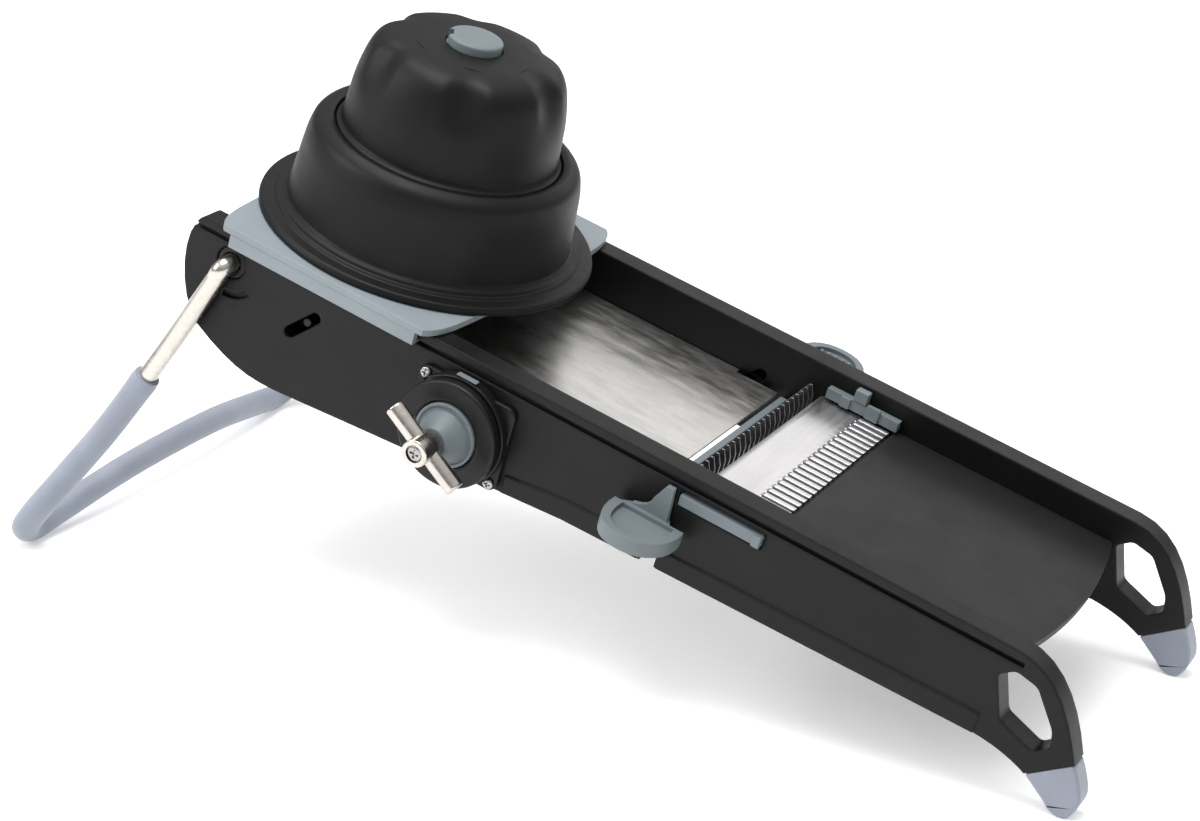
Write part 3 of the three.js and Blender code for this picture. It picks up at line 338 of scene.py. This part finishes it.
def add_lathe(bm, profile, place, segments=128, closed=True, shape=None):
    """Turns a profile of (radius, height) about an axis. A radius of 0 closes in a point."""
    rings = []
    for radius, height in profile:
        if radius < 1e-4:
            rings.append([bm.verts.new(place @ Vector((0, 0, height)))])
            continue
        ring = []
        for i in range(segments):
            angle = 2 * math.pi * i / segments
            out = shape(radius, height, angle) if shape else radius
            ring.append(bm.verts.new(place @ Vector((out * math.cos(angle), out * math.sin(angle),
                                                     height))))
        rings.append(ring)
    pairs = list(zip(rings, rings[1:]))
    if closed:
        pairs.append((rings[-1], rings[0]))
    for low, high in pairs:
        if len(low) == 1 and len(high) == 1:
            continue
        for i in range(segments):
            j = (i + 1) % segments
            corners = [low[i % len(low)], low[j % len(low)], high[j % len(high)], high[i % len(high)]]
            bm.faces.new(list(dict.fromkeys(corners)))


def upright(x):
    """Heights run along the deck's normal."""
    return DECK @ Matrix.Translation((x, 0, 0))


def outward(x, z):
    """Heights run along -y from the middle plane of the deck."""
    return DECK @ Matrix.Translation((x, 0, z)) @ OUTWARDS


def inward(x, z):
    """Heights run along +y from the middle plane of the deck."""
    return DECK @ Matrix.Translation((x, 0, z)) @ OUTWARDS.inverted()


def turned(name, body, slot, nodes, profile, place, radius=0.4, steps=4, segments=128, shape=None,
           material=None, closed=True):
    bm = bmesh.new()
    add_lathe(bm, fillet(profile, radius, steps, closed), place, segments, closed, shape)
    return finish_piece(bm, name, body, slot, nodes, material)


def catmull(points, per_span):
    """Centripetal Catmull-Rom curve through points, as three.js draws it."""
    points = [Vector(point) for point in points]
    ends = [points[0] * 2 - points[1], *points, points[-1] * 2 - points[-2]]
    line = []
    for a, b, c, d in zip(ends, ends[1:], ends[2:], ends[3:]):
        ta, tb, tc = ((b - a).length ** 0.5, (c - b).length ** 0.5, (d - c).length ** 0.5)
        into = ((b - a) / ta - (c - a) / (ta + tb) + (c - b) / tb) * tb
        away = ((c - b) / tb - (d - b) / (tb + tc) + (d - c) / tc) * tb
        for i in range(per_span):
            t = i / per_span
            line.append(b + into * t + (-3 * b + 3 * c - 2 * into - away) * t ** 2
                        + (2 * b - 2 * c + into + away) * t ** 3)
    line.append(points[-1])
    return line


def add_tube(bm, line, radii, sides, place):
    """Sweeps circles along a line, with closed ends. radii holds one radius for each point."""
    tangents = [(line[min(i + 1, len(line) - 1)] - line[max(i - 1, 0)]).normalized()
                for i in range(len(line))]
    side = tangents[0].orthogonal().normalized()
    rings = []
    for point, tangent, radius in zip(line, tangents, radii):
        side = (side - tangent * side.dot(tangent)).normalized()
        up = tangent.cross(side)
        rings.append([
            bm.verts.new(place @ (point + (side * math.cos(2 * math.pi * k / sides)
                                           + up * math.sin(2 * math.pi * k / sides)) * radius))
            for k in range(sides)
        ])
    for low, high in zip(rings, rings[1:]):
        for k in range(sides):
            bm.faces.new((low[k], low[(k + 1) % sides], high[(k + 1) % sides], high[k]))
    bm.faces.new(rings[0])
    bm.faces.new(rings[-1])


# ---------------------------------------------------------------- rails, bed and other mouldings

for side_name in ("dial", "latch"):
    dressed(f"rail_{side_name}_side", "frame", "black_plastic", 0.75, 3, RAIL_BLACK)
    dressed(f"foot_tip_{side_name}_side", "frame", "silicone", 1.4, 5)
    dressed(f"thumb_tab_{side_name}_side", "comb", "grey_plastic", 0.9, 3)
dressed("runout_bed", "frame", "charcoal_plastic", 0.5, 3)
dressed("rear_cross_member", "frame", "black_plastic", 0.5, 2)
dressed("blade_guide", "frame", "grey_plastic", 0.4, 3)
dressed("blade_catch", "catch", "grey_plastic", 0.5, 3)
dressed("blade_grip", "blade", "grey_plastic", 0.6, 3)
dressed("comb_holder", "comb", "grey_plastic", 0.4, 2)
dressed("julienne_comb", "comb", "steel_sheet", 0.1, 1, COMB_STEEL)
dressed("ramp_carrier", "ramp", "black_plastic", 0.4, 2)
dressed("carriage_plate", "carriage", "carriage_plastic", 0.7, 3)
dressed("prong_plate", "pusher", "charcoal_plastic", 0.12, 1)
dressed("dial_index_mark", "frame", "grey_plastic", 0.15, 2)
dressed("dial_disc", "dial", "black_plastic", 0.3, 2)


# ---------------------------------------------------------------- screws and pins

def add_screw(bm, place, shank, head, start, seat, top):
    """A pan-head screw along +height: shank from start to seat, and head up to top."""
    rim = top - 0.35
    add_lathe(bm, fillet([(0, start), (shank, start + shank * 0.4), (shank, seat), (head, seat),
                          (head, rim), (head * 0.6, top), (0, top)],
                         [0, 0.2, 0, 0.15, 0.35, 0.8, 0], 3, False),
              place, 32, False)


def screw(name, body, nodes, place, shank, head, start, seat, top):
    """A screw as a piece, with a cross recess in its head."""
    bm = bmesh.new()
    add_screw(bm, place, shank, head, start, seat, top)
    piece = finish_piece(bm, name, body, "steel_fastener", nodes)
    width = 0.16 * head
    reach = 0.62 * head
    cutter = bmesh.new()
    for size in ((2 * reach, 2 * width, 1.6), (2 * width, 2 * reach, 1.6)):
        matrix = place @ Matrix.Translation((0, 0, top)) @ Matrix.Diagonal((*size, 1))
        bmesh.ops.create_cube(cutter, size=1.0, matrix=matrix)
    return carve(piece, cutter)


def carve(piece, cutter, keep=False):
    """Cuts the cutter's solid out of a piece, and leaves the result as its mesh."""
    bmesh.ops.recalc_face_normals(cutter, faces=cutter.faces)
    mesh = bpy.data.meshes.new("cutter")
    cutter.to_mesh(mesh)
    cutter.free()
    tool = bpy.data.objects.new("cutter", mesh)
    bpy.context.scene.collection.objects.link(tool)
    boolean = piece.modifiers.new("cut", "BOOLEAN")
    boolean.operation = "UNION" if keep else "DIFFERENCE"
    boolean.solver = "EXACT"
    boolean.use_self = True
    boolean.object = tool
    bpy.context.view_layer.update()
    made = bpy.data.meshes.new_from_object(piece.evaluated_get(bpy.context.evaluated_depsgraph_get()))
    piece.modifiers.remove(boolean)
    made.name = piece.name
    piece.data = made
    made.shade_smooth()
    made.set_sharp_from_angle(angle=math.radians(38))
    bpy.data.objects.remove(tool)
    return piece


ESCUTCHEON_SCREWS = ((116.2, -13.2), (153.2, -43.6))
MEMBER_SCREWS = ((17.8, -40.5), (24.2, -40.5))
for number, (x, z) in enumerate(ESCUTCHEON_SCREWS, 1):
    screw(f"shown_escutcheon_screw_{number}", "frame", [f"escutcheon_screw_{number}"],
          outward(x, z), 1.2, 2.2, 61.2, 69.5, 70.5)
for side_name, place in (("dial", inward), ("latch", outward)):
    for number, (x, z) in enumerate(MEMBER_SCREWS, 1):
        screw(f"shown_member_screw_{side_name}_side_{number}", "frame",
              [f"member_screw_{side_name}_side_{number}"], place(x, z), 1.4, 2.6, -64, -53.8, -51.6)
screw("shown_dial_t_bar_screw", "dial", ["dial_t_bar_screw"], outward(*DIAL), 1.5, 3.1, 81, 96.9, 98.6)

LIFT = math.radians(48)
REAR_PIN = (58.0, -23.6)
FRONT_PIN = (DIAL[0] + 8.2 * math.cos(LIFT), DIAL[1] + 8.2 * math.sin(LIFT))
FAR_FRONT_PIN = (194.0, -23.4)
CHEEK = (45.0, 63.5, -36.0, -20.7)


def add_box(bm, x0, x1, y0, y1, z0, z1):
    """Adds a box in the deck's frame, and gives back its faces."""
    middle = Matrix.Translation(((x0 + x1) / 2, (y0 + y1) / 2, (z0 + z1) / 2))
    made = bmesh.ops.create_cube(bm, size=1.0, matrix=DECK @ middle
                                 @ Matrix.Diagonal((x1 - x0, y1 - y0, z1 - z0, 1)))
    return {face for vert in made["verts"] for face in vert.link_faces}


# The pins take the near-black painted-shade material, which stands for the shade in the slots they run
# in.
for node, place, reach, side in (("ramp_pin_dial_side", outward(*REAR_PIN), 62.4, -1),
                                 ("ramp_pin_latch_side", inward(*REAR_PIN), 62.4, 1),
                                 ("cam_follower_pin", outward(*FRONT_PIN), 69.4, 0),
                                 ("front_pin_latch_side", inward(*FAR_FRONT_PIN), 62.1, 0)):
    bm = bmesh.new()
    add_lathe(bm, fillet([(0, 50), (2.1, 50), (2.1, reach), (0, reach)], [0, 0.3, 0.7, 0], 4, False),
              place, 32, False)
    if side:
        x0, x1, z0, z1 = CHEEK
        faces = sorted((side * 56.45, side * 57.1))
        add_box(bm, x0, x1, *faces, z0, z1)
    finish_piece(bm, "shown_" + node, "ramp", "steel_fastener", [node], SHADED_PIN)
for side_name, place in (("dial", outward), ("latch", inward)):
    turned(f"shown_leg_bush_{side_name}_side", "frame", "black_plastic", [f"leg_bush_{side_name}_side"],
           [(4.2, 57.8), (6.4, 57.8), (6.4, 66.7), (4.2, 66.7)], place(*LEG_PIVOT), 0.5, 3, 64)

# ---------------------------------------------------------------- ramp sheet and blade

def add_slab(bm, us, vs, shape, dark=None):
    """A closed slab on a grid. shape(u, v) gives x, y, the lower and the upper height."""
    tops = {}
    bottoms = {}
    for i, u in enumerate(us):
        for j, v in enumerate(vs):
            x, y, low, high = shape(u, v)
            tops[i, j] = bm.verts.new(DECK @ Vector((x, y, high)))
            bottoms[i, j] = bm.verts.new(DECK @ Vector((x, y, low)))
    for i in range(len(us) - 1):
        for j in range(len(vs) - 1):
            face = bm.faces.new((tops[i, j], tops[i + 1, j], tops[i + 1, j + 1], tops[i, j + 1]))
            # dark picks the top faces that take the second material, which on the blade is painted
            # shade.
            if dark and dark(us[i], us[i + 1], vs[j], vs[j + 1]):
                face.material_index = 1
            bm.faces.new((bottoms[i, j + 1], bottoms[i + 1, j + 1], bottoms[i + 1, j], bottoms[i, j]))
    border = ([(i, 0) for i in range(len(us) - 1)]
              + [(len(us) - 1, j) for j in range(len(vs) - 1)]
              + [(i, len(vs) - 1) for i in range(len(us) - 1, 0, -1)]
              + [(0, j) for j in range(len(vs) - 1, 0, -1)])
    for here, there in zip(border, border[1:] + border[:1]):
        bm.faces.new((tops[there], tops[here], bottoms[here], bottoms[there]))


def spaced(start, end, step):
    count = max(1, round((end - start) / step))
    return [start + (end - start) * i / count for i in range(count + 1)]


RAMP_TOP = -19.4
RAMP_SHEET = 1.0
RAMP_HALF = 56.9
RAMP_STEP = 190.4
RAMP_END = 210.0
RAMP_TAB = 2.8


def ramp_emboss(x, y):
    """Low rolled pattern: long soft waves broken up across the sheet."""
    wave = noise.noise(Vector((x * 0.045, y * 0.16, 1.7)))
    ripple = noise.noise(Vector((x * 0.11, y * 0.34, 6.1)))
    edge = min(1.0, (RAMP_HALF - RAMP_TAB - abs(y)) / 4, (RAMP_END - x) / 5, (x - 12) / 5)
    return (0.16 * wave + 0.07 * ripple) * max(0.0, edge)


def ramp_point(u, v):
    half = RAMP_HALF if u < RAMP_STEP + 0.01 else RAMP_HALF - RAMP_TAB
    y = max(-half, min(half, v))
    return u, y, RAMP_TOP - RAMP_SHEET, RAMP_TOP + ramp_emboss(u, y)


bm = bmesh.new()
ramp_us = spaced(12, RAMP_STEP, 1.6) + spaced(RAMP_STEP + 0.02, RAMP_END, 1.6)
inner = spaced(-RAMP_HALF + RAMP_TAB, RAMP_HALF - RAMP_TAB, 1.3)
add_slab(bm, ramp_us, [-RAMP_HALF, *inner, RAMP_HALF], ramp_point)
bmesh.ops.dissolve_degenerate(bm, dist=1e-7, edges=bm.edges)
finish_piece(bm, "shown_ramp_plate", "ramp", "steel_sheet", ["ramp_plate"], SHEET, 30.0)

BLADE_EDGE = 226.8
BLADE_BACK = 259.6
BLADE_TOP = -12.0
BLADE_SHEET = 0.8
BLADE_NEAR = -57.4
BLADE_FAR = 56.5
RIDGES = 24
RIDGE_PITCH = 4.5
RIDGE_START = BLADE_NEAR + 2.5
RIDGE_END = RIDGE_START + RIDGES * RIDGE_PITCH
RIPPLE_START = 245.0
GROUND = 2.6


def ridge_wave(v):
    """1 on a ridge's crown and 0 in the narrow valley between two ridges."""
    if not RIDGE_START < v < RIDGE_END:
        return 0.0
    turn_at = (v - RIDGE_START) / RIDGE_PITCH
    return abs(math.sin(math.pi * turn_at)) ** 0.55


def blade_point(u, v):
    wave = ridge_wave(v)
    back = BLADE_BACK - 1.2 + 1.2 * wave
    x = u if u <= RIPPLE_START else RIPPLE_START + (u - RIPPLE_START) * (back - RIPPLE_START) / (
        BLADE_BACK - RIPPLE_START)
    under = BLADE_TOP - BLADE_SHEET
    ground = min(1.0, max(0.03, (x - BLADE_EDGE) / GROUND))
    ramp_in = min(1.0, max(0.0, (u - RIPPLE_START) / 1.8))
    rise = (1.15 * wave - 0.15) * ramp_in * (3 - 2 * ramp_in) * ramp_in
    top = under + BLADE_SHEET * ground + rise
    return x, v, under, top


# Top faces in the valleys between the ridges, which take the painted shade.
def in_shaded_valley(u0, u1, v0, v1):
    return (u0 + u1) / 2 > RIPPLE_START + 0.9 and RIDGE_START < v0 and v1 < RIDGE_END + 0.01 and (
        ridge_wave((v0 + v1) / 2) < 0.80)


bm = bmesh.new()
blade_us = ([BLADE_EDGE, BLADE_EDGE + GROUND] + spaced(BLADE_EDGE + GROUND + 0.4, RIPPLE_START, 3.0)
            + spaced(RIPPLE_START + 0.45, RIPPLE_START + 1.8, 0.45)
            + spaced(RIPPLE_START + 2.6, BLADE_BACK, 1.6))
blade_vs = ([BLADE_NEAR, BLADE_NEAR + 1.2] + spaced(RIDGE_START, RIDGE_END, RIDGE_PITCH / 14)
            + [BLADE_FAR])
add_slab(bm, blade_us, blade_vs, blade_point, in_shaded_valley)
# A dark strip under the ridged back, in the painted-shade material, standing for the shade seen through
# the gaps between the ridges.
for face in add_box(bm, 254.5, 260.1, -54, 54, -13.6, -12.9):
    face.material_index = 1
blade = finish_piece(bm, "shown_slicing_blade", "blade", "steel_sheet", ["slicing_blade"], EDGE, 50.0)
blade.data.materials.append(VALLEY_SHADE)

# ---------------------------------------------------------------- leg

LEAN = math.radians(20)
LEG_LENGTH = 156.0
LEG_BOW = 12.0
ARM_Y = 71.6
SLEEVED_Y = 73.2
SPLAY_Y = 95.0
SLEEVE_START = 63.0


def leg_point(distance, y):
    return Vector((LEG_PIVOT[0] - distance * math.sin(LEAN), y,
                   LEG_PIVOT[1] - distance * math.cos(LEAN)))


def leg_line():
    arm = [(0, 58), (0, ARM_Y - 5), (1.5, ARM_Y), (7, ARM_Y), (38, ARM_Y + 0.2),
           (SLEEVE_START - 4, SLEEVED_Y), (98, SLEEVED_Y + 5), (124, ARM_Y + 15.6),
           (144, SPLAY_Y - 0.8), (LEG_LENGTH - 4.3, SPLAY_Y - 1.2), (LEG_LENGTH, SPLAY_Y - 9),
           (LEG_LENGTH - 2.4, SPLAY_Y - 22)]
    middle = [(LEG_LENGTH - LEG_BOW + 1.7, -34), (LEG_LENGTH - LEG_BOW, 0),
              (LEG_LENGTH - LEG_BOW + 1.7, 34)]
    whole = [(d, -y) for d, y in arm] + middle + [(d, y) for d, y in reversed(arm)]
    return catmull([leg_point(d, y) for d, y in whole], 12)


def leg_distance(point):
    return (Vector((LEG_PIVOT[0], point.y, LEG_PIVOT[1])) - point).length


rod_line = leg_line()
bm = bmesh.new()
add_tube(bm, rod_line, [3.85] * len(rod_line), 28, DECK)
finish_piece(bm, "shown_leg_rod", "leg", "steel_rod", ["leg_rod"])

sleeve_line = [point for point in rod_line if leg_distance(point) >= SLEEVE_START]
count = len(sleeve_line)
sleeve_radii = []
for i in range(count):
    near_end = min(i, count - 1 - i)
    flare = 0.55 * math.exp(-near_end / 1.6)
    sleeve_radii.append(5.5 + flare - (0.7 if near_end == 0 else 0))
bm = bmesh.new()
add_tube(bm, sleeve_line, sleeve_radii, 32, DECK)
finish_piece(bm, "shown_leg_sleeve", "leg", "silicone", ["leg_sleeve"])

# ---------------------------------------------------------------- dial

turned("shown_dial_hub", "dial", "grey_plastic", ["dial_hub"],
       [(0, 73.4), (12.9, 73.4), (12.9, 78.2), (11.7, 78.2), (11.3, 77.5), (10.5, 77.5),
        (10.2, 78.3), (5.8, 86.3), (1.9, 86.3), (1.9, 80), (0, 80)], outward(*DIAL),
       [0, 0.3, 0.5, 0.3, 0.3, 0.3, 0.4, 0.6, 0.2, 0.1, 0], 4, 128, closed=False)
turned("shown_dial_drum", "dial", "black_plastic", ["dial_drum"],
       [(13.2, 73.4), (21.6, 73.4), (21.6, 77.6), (14.2, 77.6), (13.2, 77.0)], outward(*DIAL),
       [0.3, 0.5, 1.5, 0.5, 0.3], 6, 160)

BAR_AXIS_Y = -91.3
BAR_HALF = 19.2
BAR_DIRECTION = Vector((math.cos(math.radians(30)), 0, -math.sin(math.radians(30))))
bar_place = (DECK @ Matrix.Translation((DIAL[0], BAR_AXIS_Y, DIAL[1]))
             @ BAR_DIRECTION.to_track_quat("Z", "Y").to_matrix().to_4x4())
bm = bmesh.new()
add_lathe(bm, fillet([(0, -BAR_HALF), (3.7, -BAR_HALF), (3.7, BAR_HALF), (0, BAR_HALF)],
                     [0, 1.1, 1.1, 0], 5, False), bar_place, 64, False)
t_bar = finish_piece(bm, "shown_dial_t_bar", "dial", "steel_rod", ["dial_t_bar"], ROD)
boss = bmesh.new()
add_lathe(boss, fillet([(0, 86.6), (5.4, 86.6), (5.4, 98.8), (0, 98.8)], [0, 0.4, 0.7, 0], 4, False),
          outward(*DIAL), 96, False)
carve(t_bar, boss, keep=True)
bores = bmesh.new()
add_lathe(bores, [(0, 80), (1.9, 80), (1.9, 96.6), (3.5, 96.6), (3.5, 110), (0, 110)],
          outward(*DIAL), 64, False)
carve(t_bar, bores)


def rounded_outline(x0, x1, z0, z1, radius, steps=8):
    """A rectangle's outline with round corners."""
    line = []
    for cx, cz, start in ((x1 - radius, z1 - radius, 0), (x0 + radius, z1 - radius, 90),
                          (x0 + radius, z0 + radius, 180), (x1 - radius, z0 + radius, 270)):
        for i in range(steps + 1):
            angle = math.radians(start + 90 * i / steps)
            line.append((cx + radius * math.cos(angle), cz + radius * math.sin(angle)))
    return line


def add_prism(bm, outline, near, far):
    """A side outline (x, z) made thick across the deck, with rounded near edges."""
    layers = [(near, 0.7), (near - 0.2, 0.25), (near - 0.45, 0.07), (near - 0.7, 0.0), (far, 0.0)]
    middle = Vector((sum(p[0] for p in outline), sum(p[1] for p in outline))) / len(outline)
    rings = []
    for depth, inset in layers:
        ring = []
        for x, z in outline:
            point = Vector((x, z))
            point -= (point - middle).normalized() * inset
            ring.append(bm.verts.new(DECK @ Vector((point.x, -depth, point.y))))
        rings.append(ring)
    count = len(outline)
    for low, high in zip(rings, rings[1:]):
        for i in range(count):
            bm.faces.new((low[i], low[(i + 1) % count], high[(i + 1) % count], high[i]))
    bm.faces.new(rings[0])
    bm.faces.new(rings[-1])


bm = bmesh.new()
add_prism(bm, rounded_outline(113, 156.4, -46.8, -10.4, 4), 69.2, 67.3)
plate = finish_piece(bm, "shown_escutcheon", "frame", "black_plastic", ["escutcheon"])
ring = bmesh.new()
add_lathe(ring, fillet([(0, 67.3), (22.2, 67.3), (22.2, 72.4), (0, 72.4)], [0, 0, 0.7, 0], 4, False),
          outward(*DIAL), 128, False)
carve(plate, ring, keep=True)
well = bmesh.new()
add_lathe(well, [(0, 60), (20.7, 60), (20.7, 70.9), (19.4, 70.9), (19.4, 90), (0, 90)],
          outward(*DIAL), 128, False)
carve(plate, well)
for x, z in ESCUTCHEON_SCREWS:
    seat = bmesh.new()
    add_lathe(seat, [(0, 60), (1.5, 60), (1.5, 69.19), (2.6, 69.19), (2.6, 80), (0, 80)],
              outward(x, z), 48, False)
    carve(plate, seat)

# ---------------------------------------------------------------- food sleeve, pusher and button

turned("shown_food_sleeve", "carriage", "black_plastic", ["food_sleeve"],
       [(52.4, 0.7), (54.6, 0.7), (54.6, 3.5), (68, 3.5), (68, 5.0), (67.2, 6.5), (62.4, 6.9),
        (61.6, 8.1), (59.6, 8.3), (57.6, 9.6), (55.3, 35), (53.6, 41.6), (49, 44.6), (45.9, 43.8),
        (45.7, 41.2), (41.7, 41.2), (41.7, 38.4), (51, 36)], upright(DOME_X),
       [0.4, 0.4, 0.2, 0.5, 1.0, 1.0, 1.0, 0.8, 0.8, 3.0, 6.0, 5.0, 3.0, 0.8, 0.4, 0.4, 0.4, 2.0],
       6, 192, material=DOME_BLACK)

FLUTES = 6
FLUTE_DEPTH = 3.2
FLUTE_HEIGHT = 77.0
FLUTE_SPREAD = 9.0


def fluted(radius, height, angle):
    """The grip's radius: six shallow finger hollows round its shoulder."""
    if radius < 24 or height < 44:
        return radius
    band = math.exp(-(((height - FLUTE_HEIGHT) / FLUTE_SPREAD) ** 2))
    flute = max(0.0, math.cos(FLUTES * angle)) ** 1.5
    return radius - FLUTE_DEPTH * band * flute


grip = [(41.2, 4), (41.2, 41.5), (45.3, 41.5), (45.3, 43.3), (43.6, 44.4), (43.1, 50), (42.4, 60),
        (41.8, 64.5), (40.9, 69), (39.9, 73), (38.6, 76.6), (36.6, 79.6), (33.6, 82), (29.5, 83.3),
        (25, 84), (18, 84.3), (11.3, 84.4), (11.3, 64), (3.3, 64), (3.3, 62), (13.4, 62),
        (13.4, 80.8), (24, 80.6), (31, 77.5), (36.6, 70), (38.8, 56), (38.8, 4)]
grip_rounding = [0.4, 0.2, 0.3, 0.5, 1.2, 3, 3, 3, 3, 3, 3, 3, 3, 3, 3, 3, 0.6, 0.4, 0.3, 0.3, 0.3,
                 0.4, 2, 3, 3, 3, 0.4]
turned("shown_pusher_body", "pusher", "black_plastic", ["pusher_body"], grip, upright(DOME_X),
       grip_rounding, 5, 192, shape=fluted, material=DOME_BLACK)

button = turned(
    "shown_pusher_button", "button", "grey_plastic", ["pusher_button"],
    [(0, 58), (2.9, 58), (2.9, 80.4), (10.9, 80.4), (10.9, 87.2), (10.1, 87.8), (6, 88.0),
     (0, 88.05)], upright(DOME_X), [0, 0.3, 0.2, 0.4, 0.5, 0.6, 2, 0], 4, 96, closed=False)
notch = bmesh.new()
bmesh.ops.create_cube(notch, size=1.0, matrix=upright(DOME_X)
                      @ Matrix.Rotation(math.radians(212), 4, "Z")
                      @ Matrix.Translation((10.6, 0, 86.6)) @ Matrix.Diagonal((3.6, 5.0, 6.0, 1)))
carve(button, notch)
turned("shown_button_stem_clip", "button", "steel_fastener", ["button_stem_clip"],
       [(3.0, 60.4), (5.2, 60.4), (5.2, 61.6), (3.0, 61.6)], upright(DOME_X), 0.2, 2, 48)

spring_line = []
for i in range(4 * 32 + 1):
    angle = 2 * math.pi * i / 32
    spring_line.append(Vector((DOME_X + 6.4 * math.cos(angle), 6.4 * math.sin(angle),
                               65.1 + 14.3 * i / 128)))
bm = bmesh.new()
add_tube(bm, spring_line, [0.7] * len(spring_line), 12, DECK)
spring = finish_piece(bm, "shown_button_spring", "pusher", "steel_rod", ["button_spring"])
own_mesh(spring)

# ---------------------------------------------------------------- floor, light and camera

FLOOR_HALF = 9.0
floor_mesh = bpy.data.meshes.new("floor")
floor_mesh.from_pydata([(-FLOOR_HALF, -FLOOR_HALF, 0), (FLOOR_HALF, -FLOOR_HALF, 0),
                        (FLOOR_HALF, FLOOR_HALF, 0), (-FLOOR_HALF, FLOOR_HALF, 0)], [],
                       [(0, 1, 2, 3)])
floor = bpy.data.objects.new("floor", floor_mesh)
bpy.context.scene.collection.objects.link(floor)
floor_material, floor_nodes, floor_links, floor_shader = new_material("floor_paper")
floor_tone = ramp_node(floor_nodes, floor_links, noise_node(floor_nodes, floor_links, 3.0),
                       [(0.3, 0.86), (0.7, 0.88)])
floor_links.new(floor_tone, floor_shader.inputs["Base Color"])
floor_shader.inputs["Roughness"].default_value = 0.9
floor_shader.inputs["Specular IOR Level"].default_value = 0.1
floor_shader.inputs["Emission Color"].default_value = (1, 1, 1, 1)
floor_shader.inputs["Emission Strength"].default_value = 0.32
floor_mesh.materials.append(floor_material)

world = bpy.data.worlds.new("studio")
bpy.context.scene.world = world
world.use_nodes = True
world_nodes = world.node_tree.nodes
world_links = world.node_tree.links
sky = world_nodes["Background"]
sky.inputs["Strength"].default_value = 1.0
heading = world_nodes.new("ShaderNodeTexCoord")
apart = world_nodes.new("ShaderNodeSeparateXYZ")
world_links.new(heading.outputs["Generated"], apart.inputs["Vector"])
shade = ramp_node(world_nodes, world_links, apart.outputs["Z"],
                  [(0.0, 0.25), (0.25, 0.32), (0.55, 0.62), (0.80, 0.80), (1.0, 1.30)])
world_links.new(shade, sky.inputs["Color"])
bpy.context.scene.view_settings.view_transform = "Standard"


def softbox(name, at, aim, width, height, power):
    light = bpy.data.lights.new(name, "AREA")
    light.shape = "RECTANGLE"
    light.size = width
    light.size_y = height
    light.energy = power
    lamp = bpy.data.objects.new(name, light)
    lamp.location = at
    lamp.rotation_euler = (Vector(aim) - Vector(at)).to_track_quat("-Z", "Y").to_euler()
    bpy.context.scene.collection.objects.link(lamp)


softbox("overhead", (-0.1, -0.1, 1.6), (0, 0, 0.08), 1.2, 1.0, 20)
softbox("key_left", (-1.1, -0.9, 0.9), (0, 0, 0.1), 0.9, 0.9, 12)
softbox("rim_back", (0.2, 1.4, 0.7), (0, 0, 0.1), 1.6, 0.5, 3)

CAMERA_AT = Vector((505.02, -868.28, 479.93))
CAMERA_RIGHT = Vector((0.83567, 0.48467, 0.25834))
CAMERA_DOWN = Vector((0.44387, -0.31897, -0.83740))
LENS = 81.125
turn = DECK.to_3x3().normalized()
right = (turn @ CAMERA_RIGHT).normalized()
up = (turn @ -CAMERA_DOWN).normalized()
back = right.cross(up).normalized()
up = back.cross(right)
camera_data = bpy.data.cameras.new("camera")
camera_data.lens = LENS
camera_data.sensor_width = 36.0
camera = bpy.data.objects.new("camera", camera_data)
bpy.context.scene.collection.objects.link(camera)
at = DECK @ CAMERA_AT
camera.matrix_world = Matrix((
    (right.x, up.x, back.x, at.x),
    (right.y, up.y, back.y, at.y),
    (right.z, up.z, back.z, at.z),
    (0, 0, 0, 1),
))
bpy.context.scene.camera = camera
